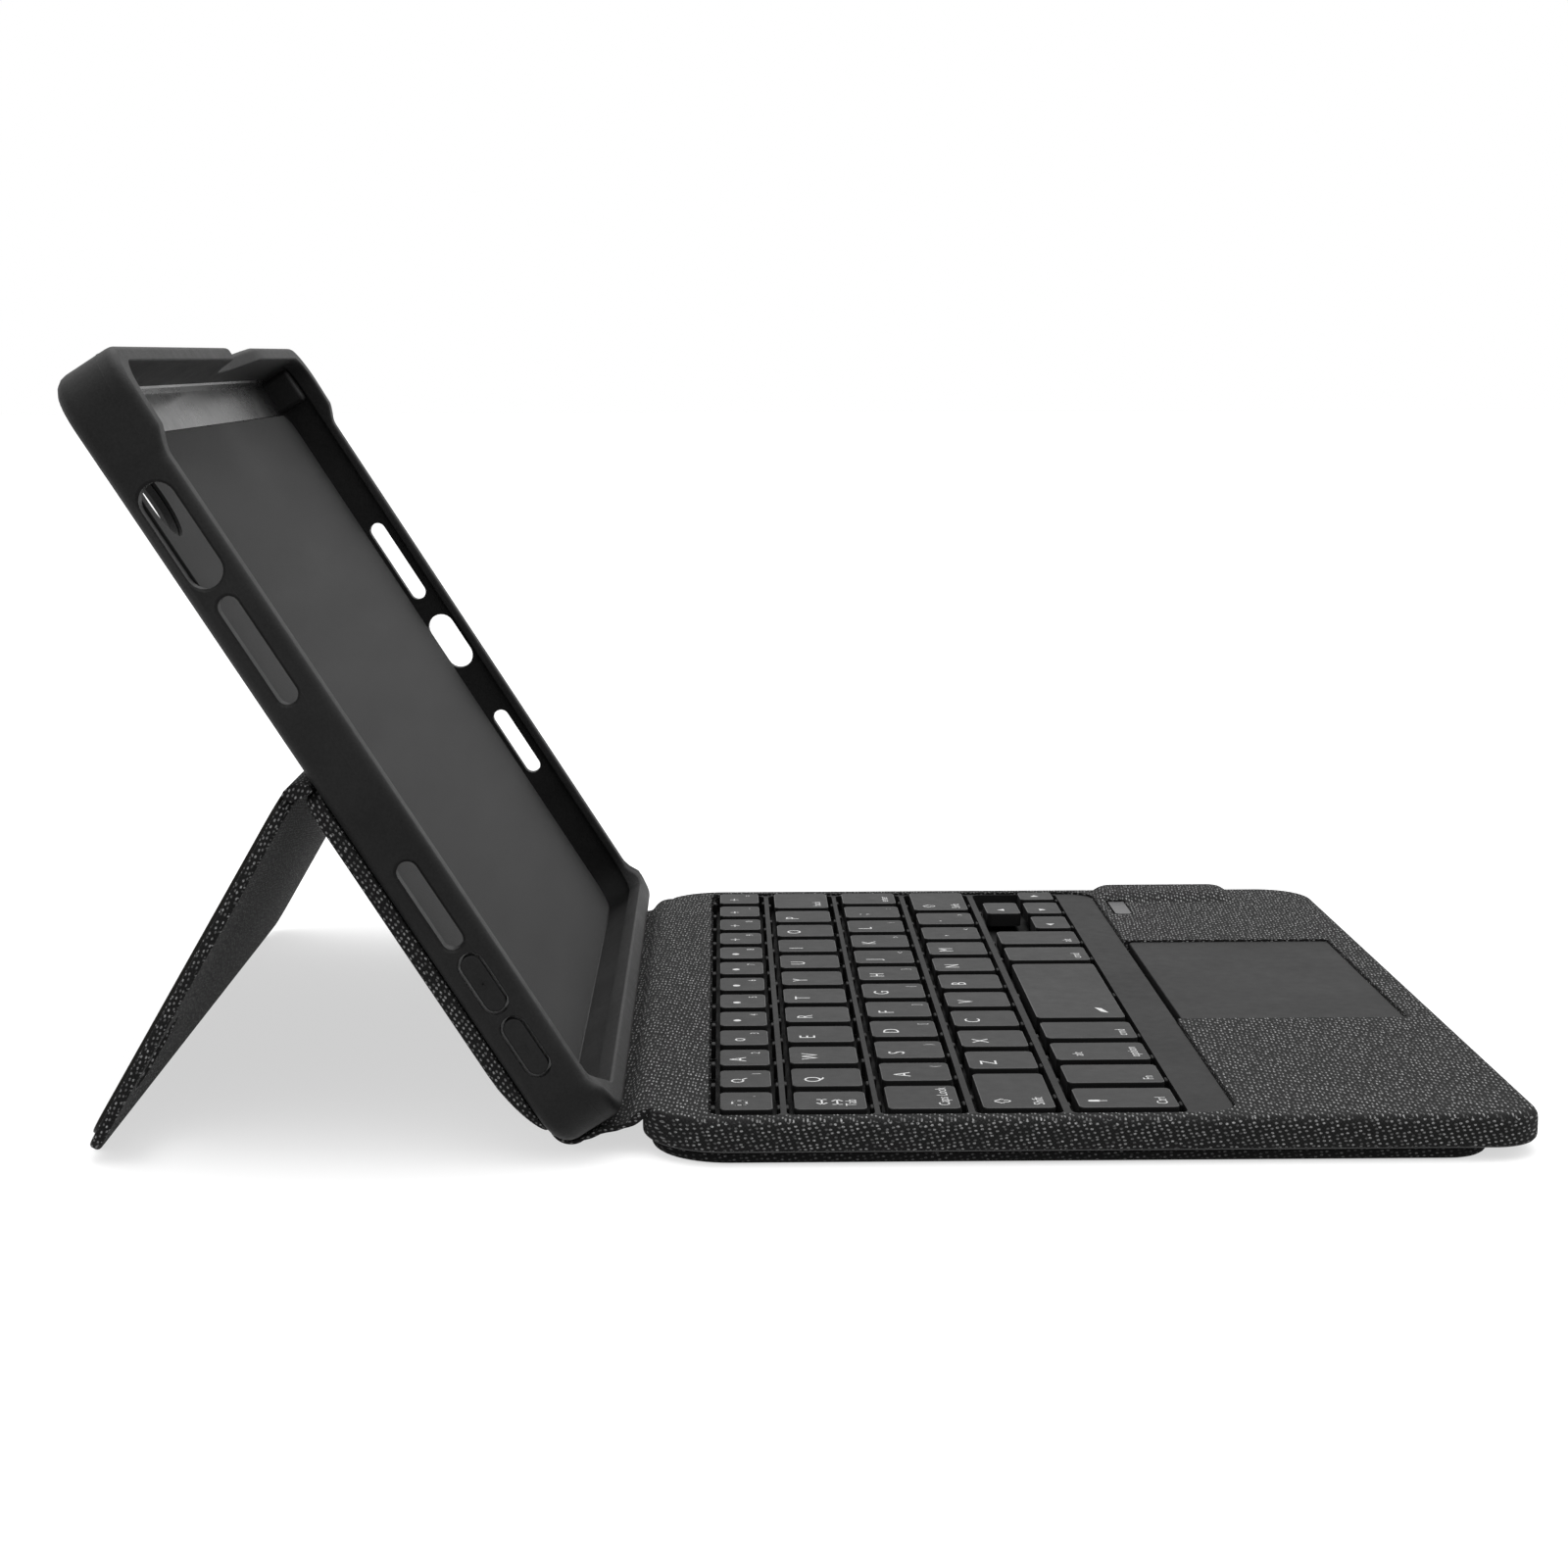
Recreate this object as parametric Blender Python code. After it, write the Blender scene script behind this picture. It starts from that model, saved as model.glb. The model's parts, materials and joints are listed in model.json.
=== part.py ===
"""Folding tablet case: a soft tray for the tablet, a fold-out stand and a cloth-covered keyboard.

+X runs to the user's right, +Y away from the user and +Z up. The case stands open on a table at
Z = 0, with the origin under the middle of its bounding box. Sizes are in millimetres and become
metres when a mesh is made.
"""

import math

import bmesh
import bpy
from mathutils import Matrix, Vector

MM = 0.001
GAP = 0.3  # clearance between neighbouring pieces

# Whole case
HALF_WIDTH = 101.5
DEPTH_MIDDLE = 71.42  # middle of the bounding box, counted as the keyboard's depths are

# Fold lines, in depth and height
SPINE_FOLD = Vector((100.9, 6.9))
TRAY_FOLD = Vector((113.1, 0.50))
TRAY_ANGLE = math.radians(57.5)
TRAY_OFFSET = Vector((0.75, 0.35))  # from the tray's fold line to its lower back corner
STAND_ANGLE = math.radians(-59.8)
FOLD_THICK = 0.6

# Tray: distances along it from the bottom edge, and across it from the back
TRAY_HEIGHT = 150.5
TRAY_CORNER = 9.0
RIM_LEVEL = 10.6
BUMPER_LEVEL = 12.3
BUMPER_CUT = ((3.5, 14.0), (8.5, RIM_LEVEL), (131.5, RIM_LEVEL), (140.5, 14.0))
POCKET_HALF = 97.9
POCKET_BOTTOM = 3.0
POCKET_TOP = 147.3
POCKET_FLOOR = 1.9
POCKET_CEILING = 9.2
POCKET_CORNER = 8.0
MOUTH_HALF = 96.2
MOUTH_BOTTOM = 4.6
LINING = (2.2, 2.6)
CAMERA_PLACE = (-87.0, 126.5)
CAMERA_RADIUS = 6.5
THUMB_NOTCH = ((10.0, 13.0), (15.5, 8.6), (22.0, 7.2), (28.5, 8.6), (37.0, 13.0))

# Windows in the tray's side walls: both ends along the tray, and half the width across it
WINDOW_MIDDLE = 5.4
POWER_WINDOW = (109.2, 128.8, 3.1)
SPEAKER_WINDOWS = ((86.6, 107.4, 1.8), (38.6, 55.8, 1.8))
PORT_WINDOW = (68.0, 82.0, 3.0)
PAD_HALF = 1.85
PAD_GROOVE = 0.45
PADS = {"volume_up_pad": (26.4, 37.0), "volume_down_pad": (13.8, 24.4)}

# Panels on the tray's back
PANEL_HALF = 98.5
PANEL_OUTER = -3.2
PANEL_FOLD = 73.8
BACK_PANEL = (
    (4.6, -GAP),
    (4.6, -0.9),
    (8.0, -2.2),
    (13.5, PANEL_OUTER),
    (72.7, PANEL_OUTER),
    (72.7, -GAP),
)
STAND_START = 1.5
STAND_LENGTH = 70.4
STAND_BOARD = 1.9
STAND_RIM = 1.1
STAND_LINING = (2.2, 2.6)
STAND_CREASE = (
    (1.2, 0.2),
    (1.2, 2.3),
    (0.1, 2.2),
    (-1.2, 1.5),
    (-2.0, 0.3),
    (-2.2, -1.0),
    (-1.9, -1.6),
    (0.3, -0.4),
)

# Spine
SPINE_HALF = 92.5
SPINE_PANEL = (2.2, 11.4)
SPINE_THICK = 0.8

# Keyboard: depths from its front to its rear, and heights
KEYBOARD_FRONT = -50.6
KEYBOARD_REAR = 100.2
KEYBOARD_CORNER = 14.5
KEYBOARD_SEAM = 2.3
KEYBOARD_TOP = 7.6
BASE_INSET = 1.5
BASE_FRONT_INSET = 9.0
DECK_HALF = 97.5
DECK_FRONT = 0.1
DECK_REAR = 89.1
DECK_LEVELS = (3.8, 7.2)
TOUCHPAD = ((-30.6, -43.9), (42.0, -0.6))
TOUCHPAD_LEVELS = (5.2, 7.2)
CHAMBER_CEILING = 5.8
BATTERY = ((-92.0, -38.0, 2.6), (-38.0, -6.0, 5.4))
CIRCUIT_BOARD = ((48.0, -40.0, 3.0), (91.0, -5.0, 4.0))
PORT = ((94.0, -24.0, 3.0), (101.2, -15.0, 6.2))
SWITCH = ((96.0, -9.2, 3.6), (101.2, -6.4, 5.4))
SWITCH_TRAVEL = 2.6
STATUS = ((71.0, -5.8, 7.0), (85.4, -2.2, 7.6))
SIDE_HUMP = ((88.0, -31.0, 6.0), (101.0, -0.4, 8.9))

# Keys: each row's front and rear edge, and its keys with their shares of the row's width
KEY_FIELD = 97.2
KEY_LEVELS = (5.0, 8.0)
KEY_SPACING = 2.4
KEY_CARRIER = (4.0, 5.2)
SLOT_MARGIN = 0.5
LETTER = 16.0


def letters(row):
    return [(f"key_{letter}", LETTER) for letter in row]


KEY_ROWS = (
    (77.9, 87.4, [("top_row_keys", LETTER)] * 13),
    (62.1, 74.9, [("key_tab", 15.2)] + letters("qwertyuiop") + [("key_backspace", 20.8)]),
    (
        46.4,
        59.2,
        [("key_caps", 18.5)]
        + letters("asdfghjkl")
        + [("key_semicolon", LETTER), ("key_enter", LETTER)],
    ),
    (
        30.5,
        43.3,
        [("key_shift_left", 26.5)]
        + letters("zxcvbnm")
        + [("comma_period_keys", LETTER)] * 2
        + [("key_shift_right", 24.0)],
    ),
    (
        9.7,
        27.2,
        [("left_modifier_keys", 16.2)] * 4
        + [("key_space", 51.6)]
        + [("right_modifier_keys", 16.6)] * 2
        + [("arrow", 16.6), ("arrow_pair", 16.2), ("arrow", 12.4)],
    ),
)
ARROW_SPLIT = (18.0, 19.0)


# ---------------------------------------------------------------- scene, materials and meshes


def clear_scene():
    for obj in list(bpy.data.objects):
        bpy.data.objects.remove(obj, do_unlink=True)


def new_collection(name):
    collection = bpy.data.collections.new(name)
    bpy.context.scene.collection.children.link(collection)
    return collection


def new_material(name, colour, roughness, metallic=0.0):
    material = bpy.data.materials.new(name)
    material.use_nodes = True
    shader = material.node_tree.nodes["Principled BSDF"]
    shader.inputs["Base Color"].default_value = (*colour, 1.0)
    shader.inputs["Roughness"].default_value = roughness
    shader.inputs["Metallic"].default_value = metallic
    return material


def pivot(name, parent, place, angle=0.0):
    """An empty on a fold line or slide: place is its depth and height in the parent."""
    empty = bpy.data.objects.new(name, None)
    empty.empty_display_size = 10 * MM
    PARTS.objects.link(empty)
    empty.parent = parent
    empty.location = (0.0, place[0] * MM, place[1] * MM)
    empty.rotation_euler.x = angle
    return empty


def finished_mesh(name, work):
    """Turns a bmesh drawn in millimetres into a mesh in metres."""
    bmesh.ops.scale(work, vec=(MM, MM, MM), verts=work.verts)
    bmesh.ops.recalc_face_normals(work, faces=work.faces)
    mesh = bpy.data.meshes.new(name)
    work.to_mesh(mesh)
    work.free()
    mesh.shade_smooth()
    mesh.set_sharp_from_angle(angle=math.radians(30))
    return mesh


def round_edges(work, edges, width, steps):
    bmesh.ops.bevel(work, geom=edges, offset=width, segments=steps, profile=0.5, affect="EDGES")


def box(low, high, corner=0.0, corner_steps=3, rims=(0.0, 0.0), rim_steps=1, along=2):
    """A block whose edges along one axis are rounded to corner, and its end rims to rims (low, high)."""
    work = bmesh.new()
    bmesh.ops.create_cube(work, size=1.0)
    low, high = Vector(low), Vector(high)
    bmesh.ops.scale(work, vec=high - low, verts=work.verts)
    bmesh.ops.translate(work, vec=(high + low) / 2, verts=work.verts)
    if corner:
        upright = [e for e in work.edges if abs(e.verts[0].co[along] - e.verts[1].co[along]) > 1e-4]
        round_edges(work, upright, corner, corner_steps)
    for level, width in ((low[along], rims[0]), (high[along], rims[1])):
        if width:
            rim = [e for e in work.edges if all(abs(v.co[along] - level) < 1e-4 for v in e.verts)]
            round_edges(work, rim, width, rim_steps)
    return work


def drum(centre, radius, depth, sides=20):
    """A cylinder along the third axis, centred on a point."""
    work = bmesh.new()
    bmesh.ops.create_cone(
        work,
        cap_ends=True,
        segments=sides,
        radius1=radius,
        radius2=radius,
        depth=depth,
        matrix=Matrix.Translation(centre),
    )
    return work


# Where an outline's two directions and its thickness point, as the columns of a rotation
SIDEWAYS = Matrix(((0, 0, 1), (1, 0, 0), (0, 1, 0))).to_4x4()  # depth and height, running along X
LENGTHWAYS = Matrix(((1, 0, 0), (0, 0, -1), (0, 1, 0))).to_4x4()  # width and height, along -Y


def extrusion(outline, low, high, turn=SIDEWAYS):
    """A flat outline filled as a 2D curve and given thickness from low to high along its third direction."""
    curve = bpy.data.curves.new("outline", "CURVE")
    curve.dimensions = "2D"
    curve.fill_mode = "BOTH"
    curve.extrude = (high - low) / 2
    spline = curve.splines.new("POLY")
    spline.points.add(len(outline) - 1)
    for point, place in zip(spline.points, outline):
        point.co = (place[0], place[1], 0.0, 1.0)
    spline.use_cyclic_u = True
    carrier = bpy.data.objects.new("outline", curve)
    CUTTERS.objects.link(carrier)
    evaluated = carrier.evaluated_get(bpy.context.evaluated_depsgraph_get())
    filled = bpy.data.meshes.new_from_object(evaluated)
    work = bmesh.new()
    work.from_mesh(filled)
    bpy.data.objects.remove(carrier)
    bpy.data.curves.remove(curve)
    bpy.data.meshes.remove(filled)
    bmesh.ops.remove_doubles(work, verts=work.verts, dist=1e-3)
    bmesh.ops.dissolve_limit(work, angle_limit=math.radians(1), verts=work.verts, edges=work.edges)
    place = turn @ Matrix.Translation((0, 0, (high + low) / 2))
    bmesh.ops.transform(work, matrix=place, verts=work.verts)
    return work


def piece(name, work, parent, material, place=(0, 0, 0)):
    obj = bpy.data.objects.new(name, finished_mesh(name, work))
    PARTS.objects.link(obj)
    obj.parent = parent
    obj.location = Vector(place) * MM
    obj.data.materials.append(material)
    return obj


def combine(obj, operation, shapes):
    """Adds or cuts each shape with an exact Boolean, keeping the shape as a hidden guide."""
    for number, work in enumerate(shapes):
        name = f"{obj.name}_{operation.lower()}_{number}"
        guide = bpy.data.objects.new(name, finished_mesh(name, work))
        CUTTERS.objects.link(guide)
        guide.parent = obj.parent
        guide.location = obj.location
        guide.hide_render = True
        guide.display_type = "WIRE"
        boolean = obj.modifiers.new(name, "BOOLEAN")
        boolean.operation = operation
        boolean.solver = "EXACT"
        boolean.object = guide


# ---------------------------------------------------------------- tray


def window(ends, side):
    """A long hole with round ends through the tray's left (-1) or right (1) wall."""
    low_end, high_end, half = ends
    walls = sorted((side * (HALF_WIDTH + 2), side * (POCKET_HALF - 2)))
    low = (walls[0], low_end, WINDOW_MIDDLE - half)
    high = (walls[1], high_end, WINDOW_MIDDLE + half)
    return box(low, high, corner=half * 0.98, corner_steps=4, along=0)


def make_tray(tray):
    offset = (0.0, *TRAY_OFFSET)
    low = (-HALF_WIDTH, 0.0, 0.0)
    high = (HALF_WIDTH, TRAY_HEIGHT, BUMPER_LEVEL)
    shell = piece("tray_shell", box(low, high, TRAY_CORNER, 5, (3.0, 2.0), 2), tray, TPU, offset)
    pocket = box(
        (-POCKET_HALF, POCKET_BOTTOM, POCKET_FLOOR),
        (POCKET_HALF, POCKET_TOP, POCKET_CEILING),
        POCKET_CORNER,
    )
    mouth = box(
        (-MOUTH_HALF, MOUTH_BOTTOM, POCKET_CEILING - 0.2),
        (MOUTH_HALF, POCKET_TOP, BUMPER_LEVEL + 2),
        POCKET_CORNER - 1,
    )
    camera = drum((*CAMERA_PLACE, 0.0), CAMERA_RADIUS, 12.0)
    bumpers = extrusion(BUMPER_CUT, -HALF_WIDTH - 5, HALF_WIDTH + 5)
    notch = extrusion(THUMB_NOTCH, -TRAY_HEIGHT - 3, -POCKET_TOP + 2, LENGTHWAYS)
    left = [window(ends, -1) for ends in (POWER_WINDOW, *SPEAKER_WINDOWS)]
    right = [window(ends, 1) for ends in (PORT_WINDOW, *SPEAKER_WINDOWS)]
    grooves = [
        window((low_end - PAD_GROOVE, high_end + PAD_GROOVE, PAD_HALF + PAD_GROOVE), -1)
        for low_end, high_end in PADS.values()
    ]
    combine(shell, "DIFFERENCE", [bumpers, pocket, mouth, camera, notch, *left, *right, *grooves])

    lining = box(
        (-POCKET_HALF + GAP, POCKET_BOTTOM + GAP, LINING[0]),
        (POCKET_HALF - GAP, POCKET_TOP - GAP, LINING[1]),
        POCKET_CORNER,
    )
    sheet = piece("tray_lining", lining, tray, LINING_CLOTH, offset)
    combine(sheet, "DIFFERENCE", [drum((*CAMERA_PLACE, 0.0), CAMERA_RADIUS + 0.5, 12.0)])

    for name, (low_end, high_end) in PADS.items():
        middle = Vector((-HALF_WIDTH, (low_end + high_end) / 2, WINDOW_MIDDLE))
        reach = (high_end - low_end) / 2
        low, high = (0.0, -reach, -PAD_HALF), (2.8, reach, PAD_HALF)
        pad = box(low, high, PAD_HALF * 0.96, 3, (0.5, 0.0), along=0)
        piece(name, pad, tray, TPU, middle + Vector(offset))

    piece("back_panel", extrusion(BACK_PANEL, -PANEL_HALF, PANEL_HALF), tray, FABRIC, offset)


# ---------------------------------------------------------------- stand


def make_stand(stand, foot):
    """The flap: its cloth face lies on the fold line's plane, and foot is its thin edge's reach."""
    board = box(
        (-PANEL_HALF, STAND_START, 0.0),
        (PANEL_HALF, STAND_LENGTH, STAND_BOARD),
        6.0,
    )
    panel = piece("stand_panel", board, stand, FABRIC)
    rim = box((-90.0, STAND_LENGTH - 2, STAND_RIM), (90.0, foot, STAND_BOARD - 0.1))
    combine(panel, "UNION", [rim])
    opening = (CAMERA_PLACE[0], CAMERA_PLACE[1] - PANEL_FOLD, 0.0)
    combine(panel, "DIFFERENCE", [drum(opening, CAMERA_RADIUS + 0.5, 12.0)])

    cloth = box(
        (-PANEL_HALF + 2, STAND_START, STAND_LINING[0]),
        (PANEL_HALF - 2, STAND_LENGTH - 2, STAND_LINING[1]),
        5.0,
    )
    lining = piece("stand_lining", cloth, stand, LINING_CLOTH)
    combine(lining, "DIFFERENCE", [drum(opening, CAMERA_RADIUS + 1.5, 12.0)])

    piece("stand_fold", extrusion(STAND_CREASE, -PANEL_HALF, PANEL_HALF), stand, FABRIC)


# ---------------------------------------------------------------- spine


def ribbon(middle, thickness):
    """The outline of a bent strip of even thickness along a middle line of depth and height points."""
    middle = [Vector(point) for point in middle]
    upper, lower = [], []
    for number, point in enumerate(middle):
        before = middle[max(number - 1, 0)]
        after = middle[min(number + 1, len(middle) - 1)]
        run = (after - before).normalized()
        rise = Vector((-run.y, run.x)) * thickness / 2
        upper.append(point + rise)
        lower.append(point - rise)
    return upper + lower[::-1]


def make_spine(case, spine, spine_run):
    """A stiffened strip between two soft folds; the folds are drawn as the case stands open."""
    strip = ribbon([(SPINE_PANEL[0], 0.0), (SPINE_PANEL[1], 0.0)], SPINE_THICK)
    piece("spine_panel", extrusion(strip, -SPINE_HALF, SPINE_HALF), spine, FABRIC)

    start = SPINE_FOLD + spine_run * (SPINE_PANEL[0] - GAP)
    front = ribbon([(KEYBOARD_REAR + GAP, SPINE_FOLD.y + 0.1), SPINE_FOLD, start], FOLD_THICK)
    piece("spine_fold_keyboard", extrusion(front, -SPINE_HALF, SPINE_HALF), case, FABRIC)

    along = Vector((math.cos(TRAY_ANGLE), math.sin(TRAY_ANGLE)))
    across = Vector((-along.y, along.x))
    end = SPINE_FOLD + spine_run * (SPINE_PANEL[1] + GAP)
    corner = TRAY_FOLD + along * TRAY_OFFSET.x + across * TRAY_OFFSET.y
    hem = corner + along * (BACK_PANEL[0][0] - GAP) - across * 0.45
    rear = ribbon([end, TRAY_FOLD, hem], FOLD_THICK)
    piece("spine_fold_tray", extrusion(rear, -SPINE_HALF, SPINE_HALF), case, FABRIC)


# ---------------------------------------------------------------- keyboard


def grown(low, high, by, bottom, top):
    """A box around a piece's sides, from one level to another."""
    return box((low[0] - by, low[1] - by, bottom), (high[0] + by, high[1] + by, top))


def make_keyboard(case):
    low = (-HALF_WIDTH, KEYBOARD_FRONT, KEYBOARD_SEAM)
    high = (HALF_WIDTH, KEYBOARD_REAR, KEYBOARD_TOP)
    cover = piece("top_cover", box(low, high, KEYBOARD_CORNER, 6, (0.5, 1.8), 2), case, FABRIC)
    combine(cover, "UNION", [box(*SIDE_HUMP, 2.0, 2, (0.0, 1.4), 2)])
    chambers = [
        box((-95.0, -42.0, 0.0), (-33.0, -2.5, CHAMBER_CEILING)),
        box((44.5, -42.0, 0.0), (95.0, -2.5, CHAMBER_CEILING)),
    ]
    switch_end = (SWITCH[1][0], SWITCH[1][1] + SWITCH_TRAVEL)
    openings = [
        box((-DECK_HALF, DECK_FRONT, 0.0), (DECK_HALF, DECK_REAR, 12.0), 3.0),
        box((TOUCHPAD[0][0], TOUCHPAD[0][1], 0.0), (TOUCHPAD[1][0], DECK_FRONT + 5, 12.0), 1.5),
        grown(*PORT, GAP, PORT[0][2] - GAP, PORT[1][2] + GAP),
        grown(SWITCH[0], switch_end, GAP, SWITCH[0][2] - GAP, SWITCH[1][2] + GAP),
        grown(*STATUS, GAP, STATUS[0][2] - GAP, KEYBOARD_TOP + 2),
    ]
    combine(cover, "DIFFERENCE", chambers + openings)

    low = (-HALF_WIDTH + BASE_INSET, KEYBOARD_FRONT + BASE_FRONT_INSET, 0.0)
    high = (HALF_WIDTH - BASE_INSET, KEYBOARD_REAR - BASE_INSET, KEYBOARD_SEAM - GAP)
    piece("bottom_cover", box(low, high, KEYBOARD_CORNER - 2, 5, (0.8, 0.0), 1), case, BASE_CLOTH)

    side, front, rear = DECK_HALF - 1.5, DECK_FRONT + 1.5, DECK_REAR - 1.5
    piece("base_plate", box((-side, front, 2.4), (side, rear, 2.9)), case, STEEL)
    piece("membrane", box((-side, front, 3.1), (side, rear, 3.4)), case, FILM)

    low = (-DECK_HALF + GAP, DECK_FRONT + GAP, DECK_LEVELS[0])
    high = (DECK_HALF - GAP, DECK_REAR - GAP, DECK_LEVELS[1])
    deck = piece("key_deck", box(low, high, 2.7, 3, (0.0, 0.3)), case, DECK_PLASTIC)
    side = KEY_FIELD - KEY_SPACING / 2 + SLOT_MARGIN
    slots = [
        box((-side, front - SLOT_MARGIN, 0.0), (side, rear + SLOT_MARGIN, 10.0), 1.0, 2)
        for front, rear, _ in KEY_ROWS
    ]
    combine(deck, "DIFFERENCE", slots)

    piece("battery", box(*BATTERY, 1.0, 1), case, FOIL)
    piece("circuit_board", box(*CIRCUIT_BOARD), case, BOARD)
    port = piece("charge_port", box(*PORT, 1.2, 2, along=0), case, STEEL)
    (x, y, z), (end_x, end_y, end_z) = PORT
    low, high = (x + 1.0, y + 0.4, z + 0.4), (end_x + 1.0, end_y - 0.4, end_z - 0.4)
    combine(port, "DIFFERENCE", [box(low, high, 0.8, 2, along=0)])
    piece("status_window", box(*STATUS, 0.6, 1), case, CLEAR_PLASTIC)


def make_touchpad(hinge):
    """The pad tips about its rear edge; it is drawn from that edge."""
    depth = TOUCHPAD[1][1] - TOUCHPAD[0][1] - 2 * GAP
    low = (TOUCHPAD[0][0] + GAP, -depth, TOUCHPAD_LEVELS[0] - TOUCHPAD_LEVELS[1])
    high = (TOUCHPAD[1][0] - GAP, 0.0, 0.0)
    piece("touchpad", box(low, high, 1.2, 2, (0.0, 0.2)), hinge, PAD_PLASTIC)


def make_switch(case):
    low, high = Vector(SWITCH[0]), Vector(SWITCH[1])
    middle = (low + high) / 2
    knob = box(low - middle, high - middle, 0.4, 1, (0.0, 0.3), along=0)
    piece("power_switch", knob, case, DECK_PLASTIC, middle)


# ---------------------------------------------------------------- keys


def key_cells():
    """Each key's node and its corners (left, front, right, rear), row by row."""
    for front, rear, keys in KEY_ROWS:
        share = 2 * KEY_FIELD / sum(width for _, width in keys)
        left = -KEY_FIELD
        for name, width in keys:
            right = left + width * share
            sides = left + KEY_SPACING / 2, right - KEY_SPACING / 2
            if name in ("arrow", "arrow_pair"):
                yield "right_modifier_keys", (sides[0], front, sides[1], ARROW_SPLIT[0])
                if name == "arrow_pair":
                    yield "right_modifier_keys", (sides[0], ARROW_SPLIT[1], sides[1], rear)
            else:
                yield name, (sides[0], front, sides[1], rear)
            left = right


def key_cap(corners, centre):
    left, front, right, rear = corners
    low = Vector((left, front, KEY_LEVELS[0])) - centre
    high = Vector((right, rear, KEY_LEVELS[1])) - centre
    return box(low, high, 1.0, 1, (0.0, 0.45))


def make_keys(case):
    groups = {}
    for name, corners in key_cells():
        groups.setdefault(name, []).append(corners)
    for name, keys in groups.items():
        left = min(corners[0] for corners in keys)
        front = min(corners[1] for corners in keys)
        right = max(corners[2] for corners in keys)
        rear = max(corners[3] for corners in keys)
        centre = Vector(((left + right) / 2, (front + rear) / 2, KEY_LEVELS[1]))
        if len(keys) == 1:
            piece(name, key_cap(keys[0], centre), case, KEY_PLASTIC, centre)
            continue
        half = (rear - front) * 0.2
        low = Vector((left + 2, (front + rear) / 2 - half, KEY_CARRIER[0])) - centre
        high = Vector((right - 2, (front + rear) / 2 + half, KEY_CARRIER[1])) - centre
        strip = piece(name, box(low, high), case, KEY_PLASTIC, centre)
        combine(strip, "UNION", [key_cap(corners, centre) for corners in keys])


# ---------------------------------------------------------------- assembly

clear_scene()
PARTS = new_collection("tablet_keyboard_case")
CUTTERS = new_collection("cutters")

TPU = new_material("tpu", (0.018, 0.018, 0.019), 0.55)
FABRIC = new_material("fabric", (0.03, 0.03, 0.033), 0.9)
LINING_CLOTH = new_material("lining", (0.035, 0.034, 0.032), 0.85)
BASE_CLOTH = new_material("base_cloth", (0.02, 0.02, 0.021), 0.85)
DECK_PLASTIC = new_material("deck_plastic", (0.045, 0.045, 0.047), 0.42)
KEY_PLASTIC = new_material("key_plastic", (0.06, 0.06, 0.062), 0.45)
PAD_PLASTIC = new_material("touchpad_plastic", (0.085, 0.085, 0.088), 0.5)
CLEAR_PLASTIC = new_material("clear_plastic", (0.35, 0.35, 0.36), 0.25)
STEEL = new_material("steel", (0.55, 0.55, 0.56), 0.35, 1.0)
FILM = new_material("film", (0.02, 0.02, 0.02), 0.3)
FOIL = new_material("foil", (0.5, 0.5, 0.52), 0.3, 1.0)
BOARD = new_material("board", (0.02, 0.07, 0.03), 0.5)


def build():
    spine_run = (TRAY_FOLD - SPINE_FOLD).normalized()
    tray_along = Vector((math.cos(TRAY_ANGLE), math.sin(TRAY_ANGLE)))
    tray_across = Vector((-tray_along.y, tray_along.x))
    stand_place = Vector((TRAY_OFFSET.x + PANEL_FOLD, TRAY_OFFSET.y + PANEL_OUTER))
    fold_height = (TRAY_FOLD + tray_along * stand_place.x + tray_across * stand_place.y).y
    foot = (fold_height + STAND_RIM * math.cos(STAND_ANGLE)) / -math.sin(STAND_ANGLE)

    case = pivot("case", None, (-DEPTH_MIDDLE, 0.0))
    spine = pivot("spine_axis", case, SPINE_FOLD, math.atan2(spine_run.y, spine_run.x))
    tray = pivot("tray_axis", case, TRAY_FOLD, TRAY_ANGLE)
    stand = pivot("stand_axis", tray, stand_place, STAND_ANGLE - TRAY_ANGLE)
    touchpad = pivot("touchpad_axis", case, (TOUCHPAD[1][1] - GAP, TOUCHPAD_LEVELS[1]))

    make_tray(tray)
    make_stand(stand, foot)
    make_spine(case, spine, spine_run)
    make_keyboard(case)
    make_touchpad(touchpad)
    make_switch(case)
    make_keys(case)


build()
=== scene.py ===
"""Looks of the tablet keyboard case: a moulded tray, cloth-covered panels and keyboard, and keys.

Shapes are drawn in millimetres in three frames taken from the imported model: the keyboard's (depths
counted as in the model's drawing), the tray's (sideways, up the tray, towards the user) and the
stand's (sideways, down the flap, away from the cloth face). Each piece becomes metres when its
mesh is made.
"""

import json
import math

import bmesh
import bpy
from mathutils import Matrix, Vector

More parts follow.
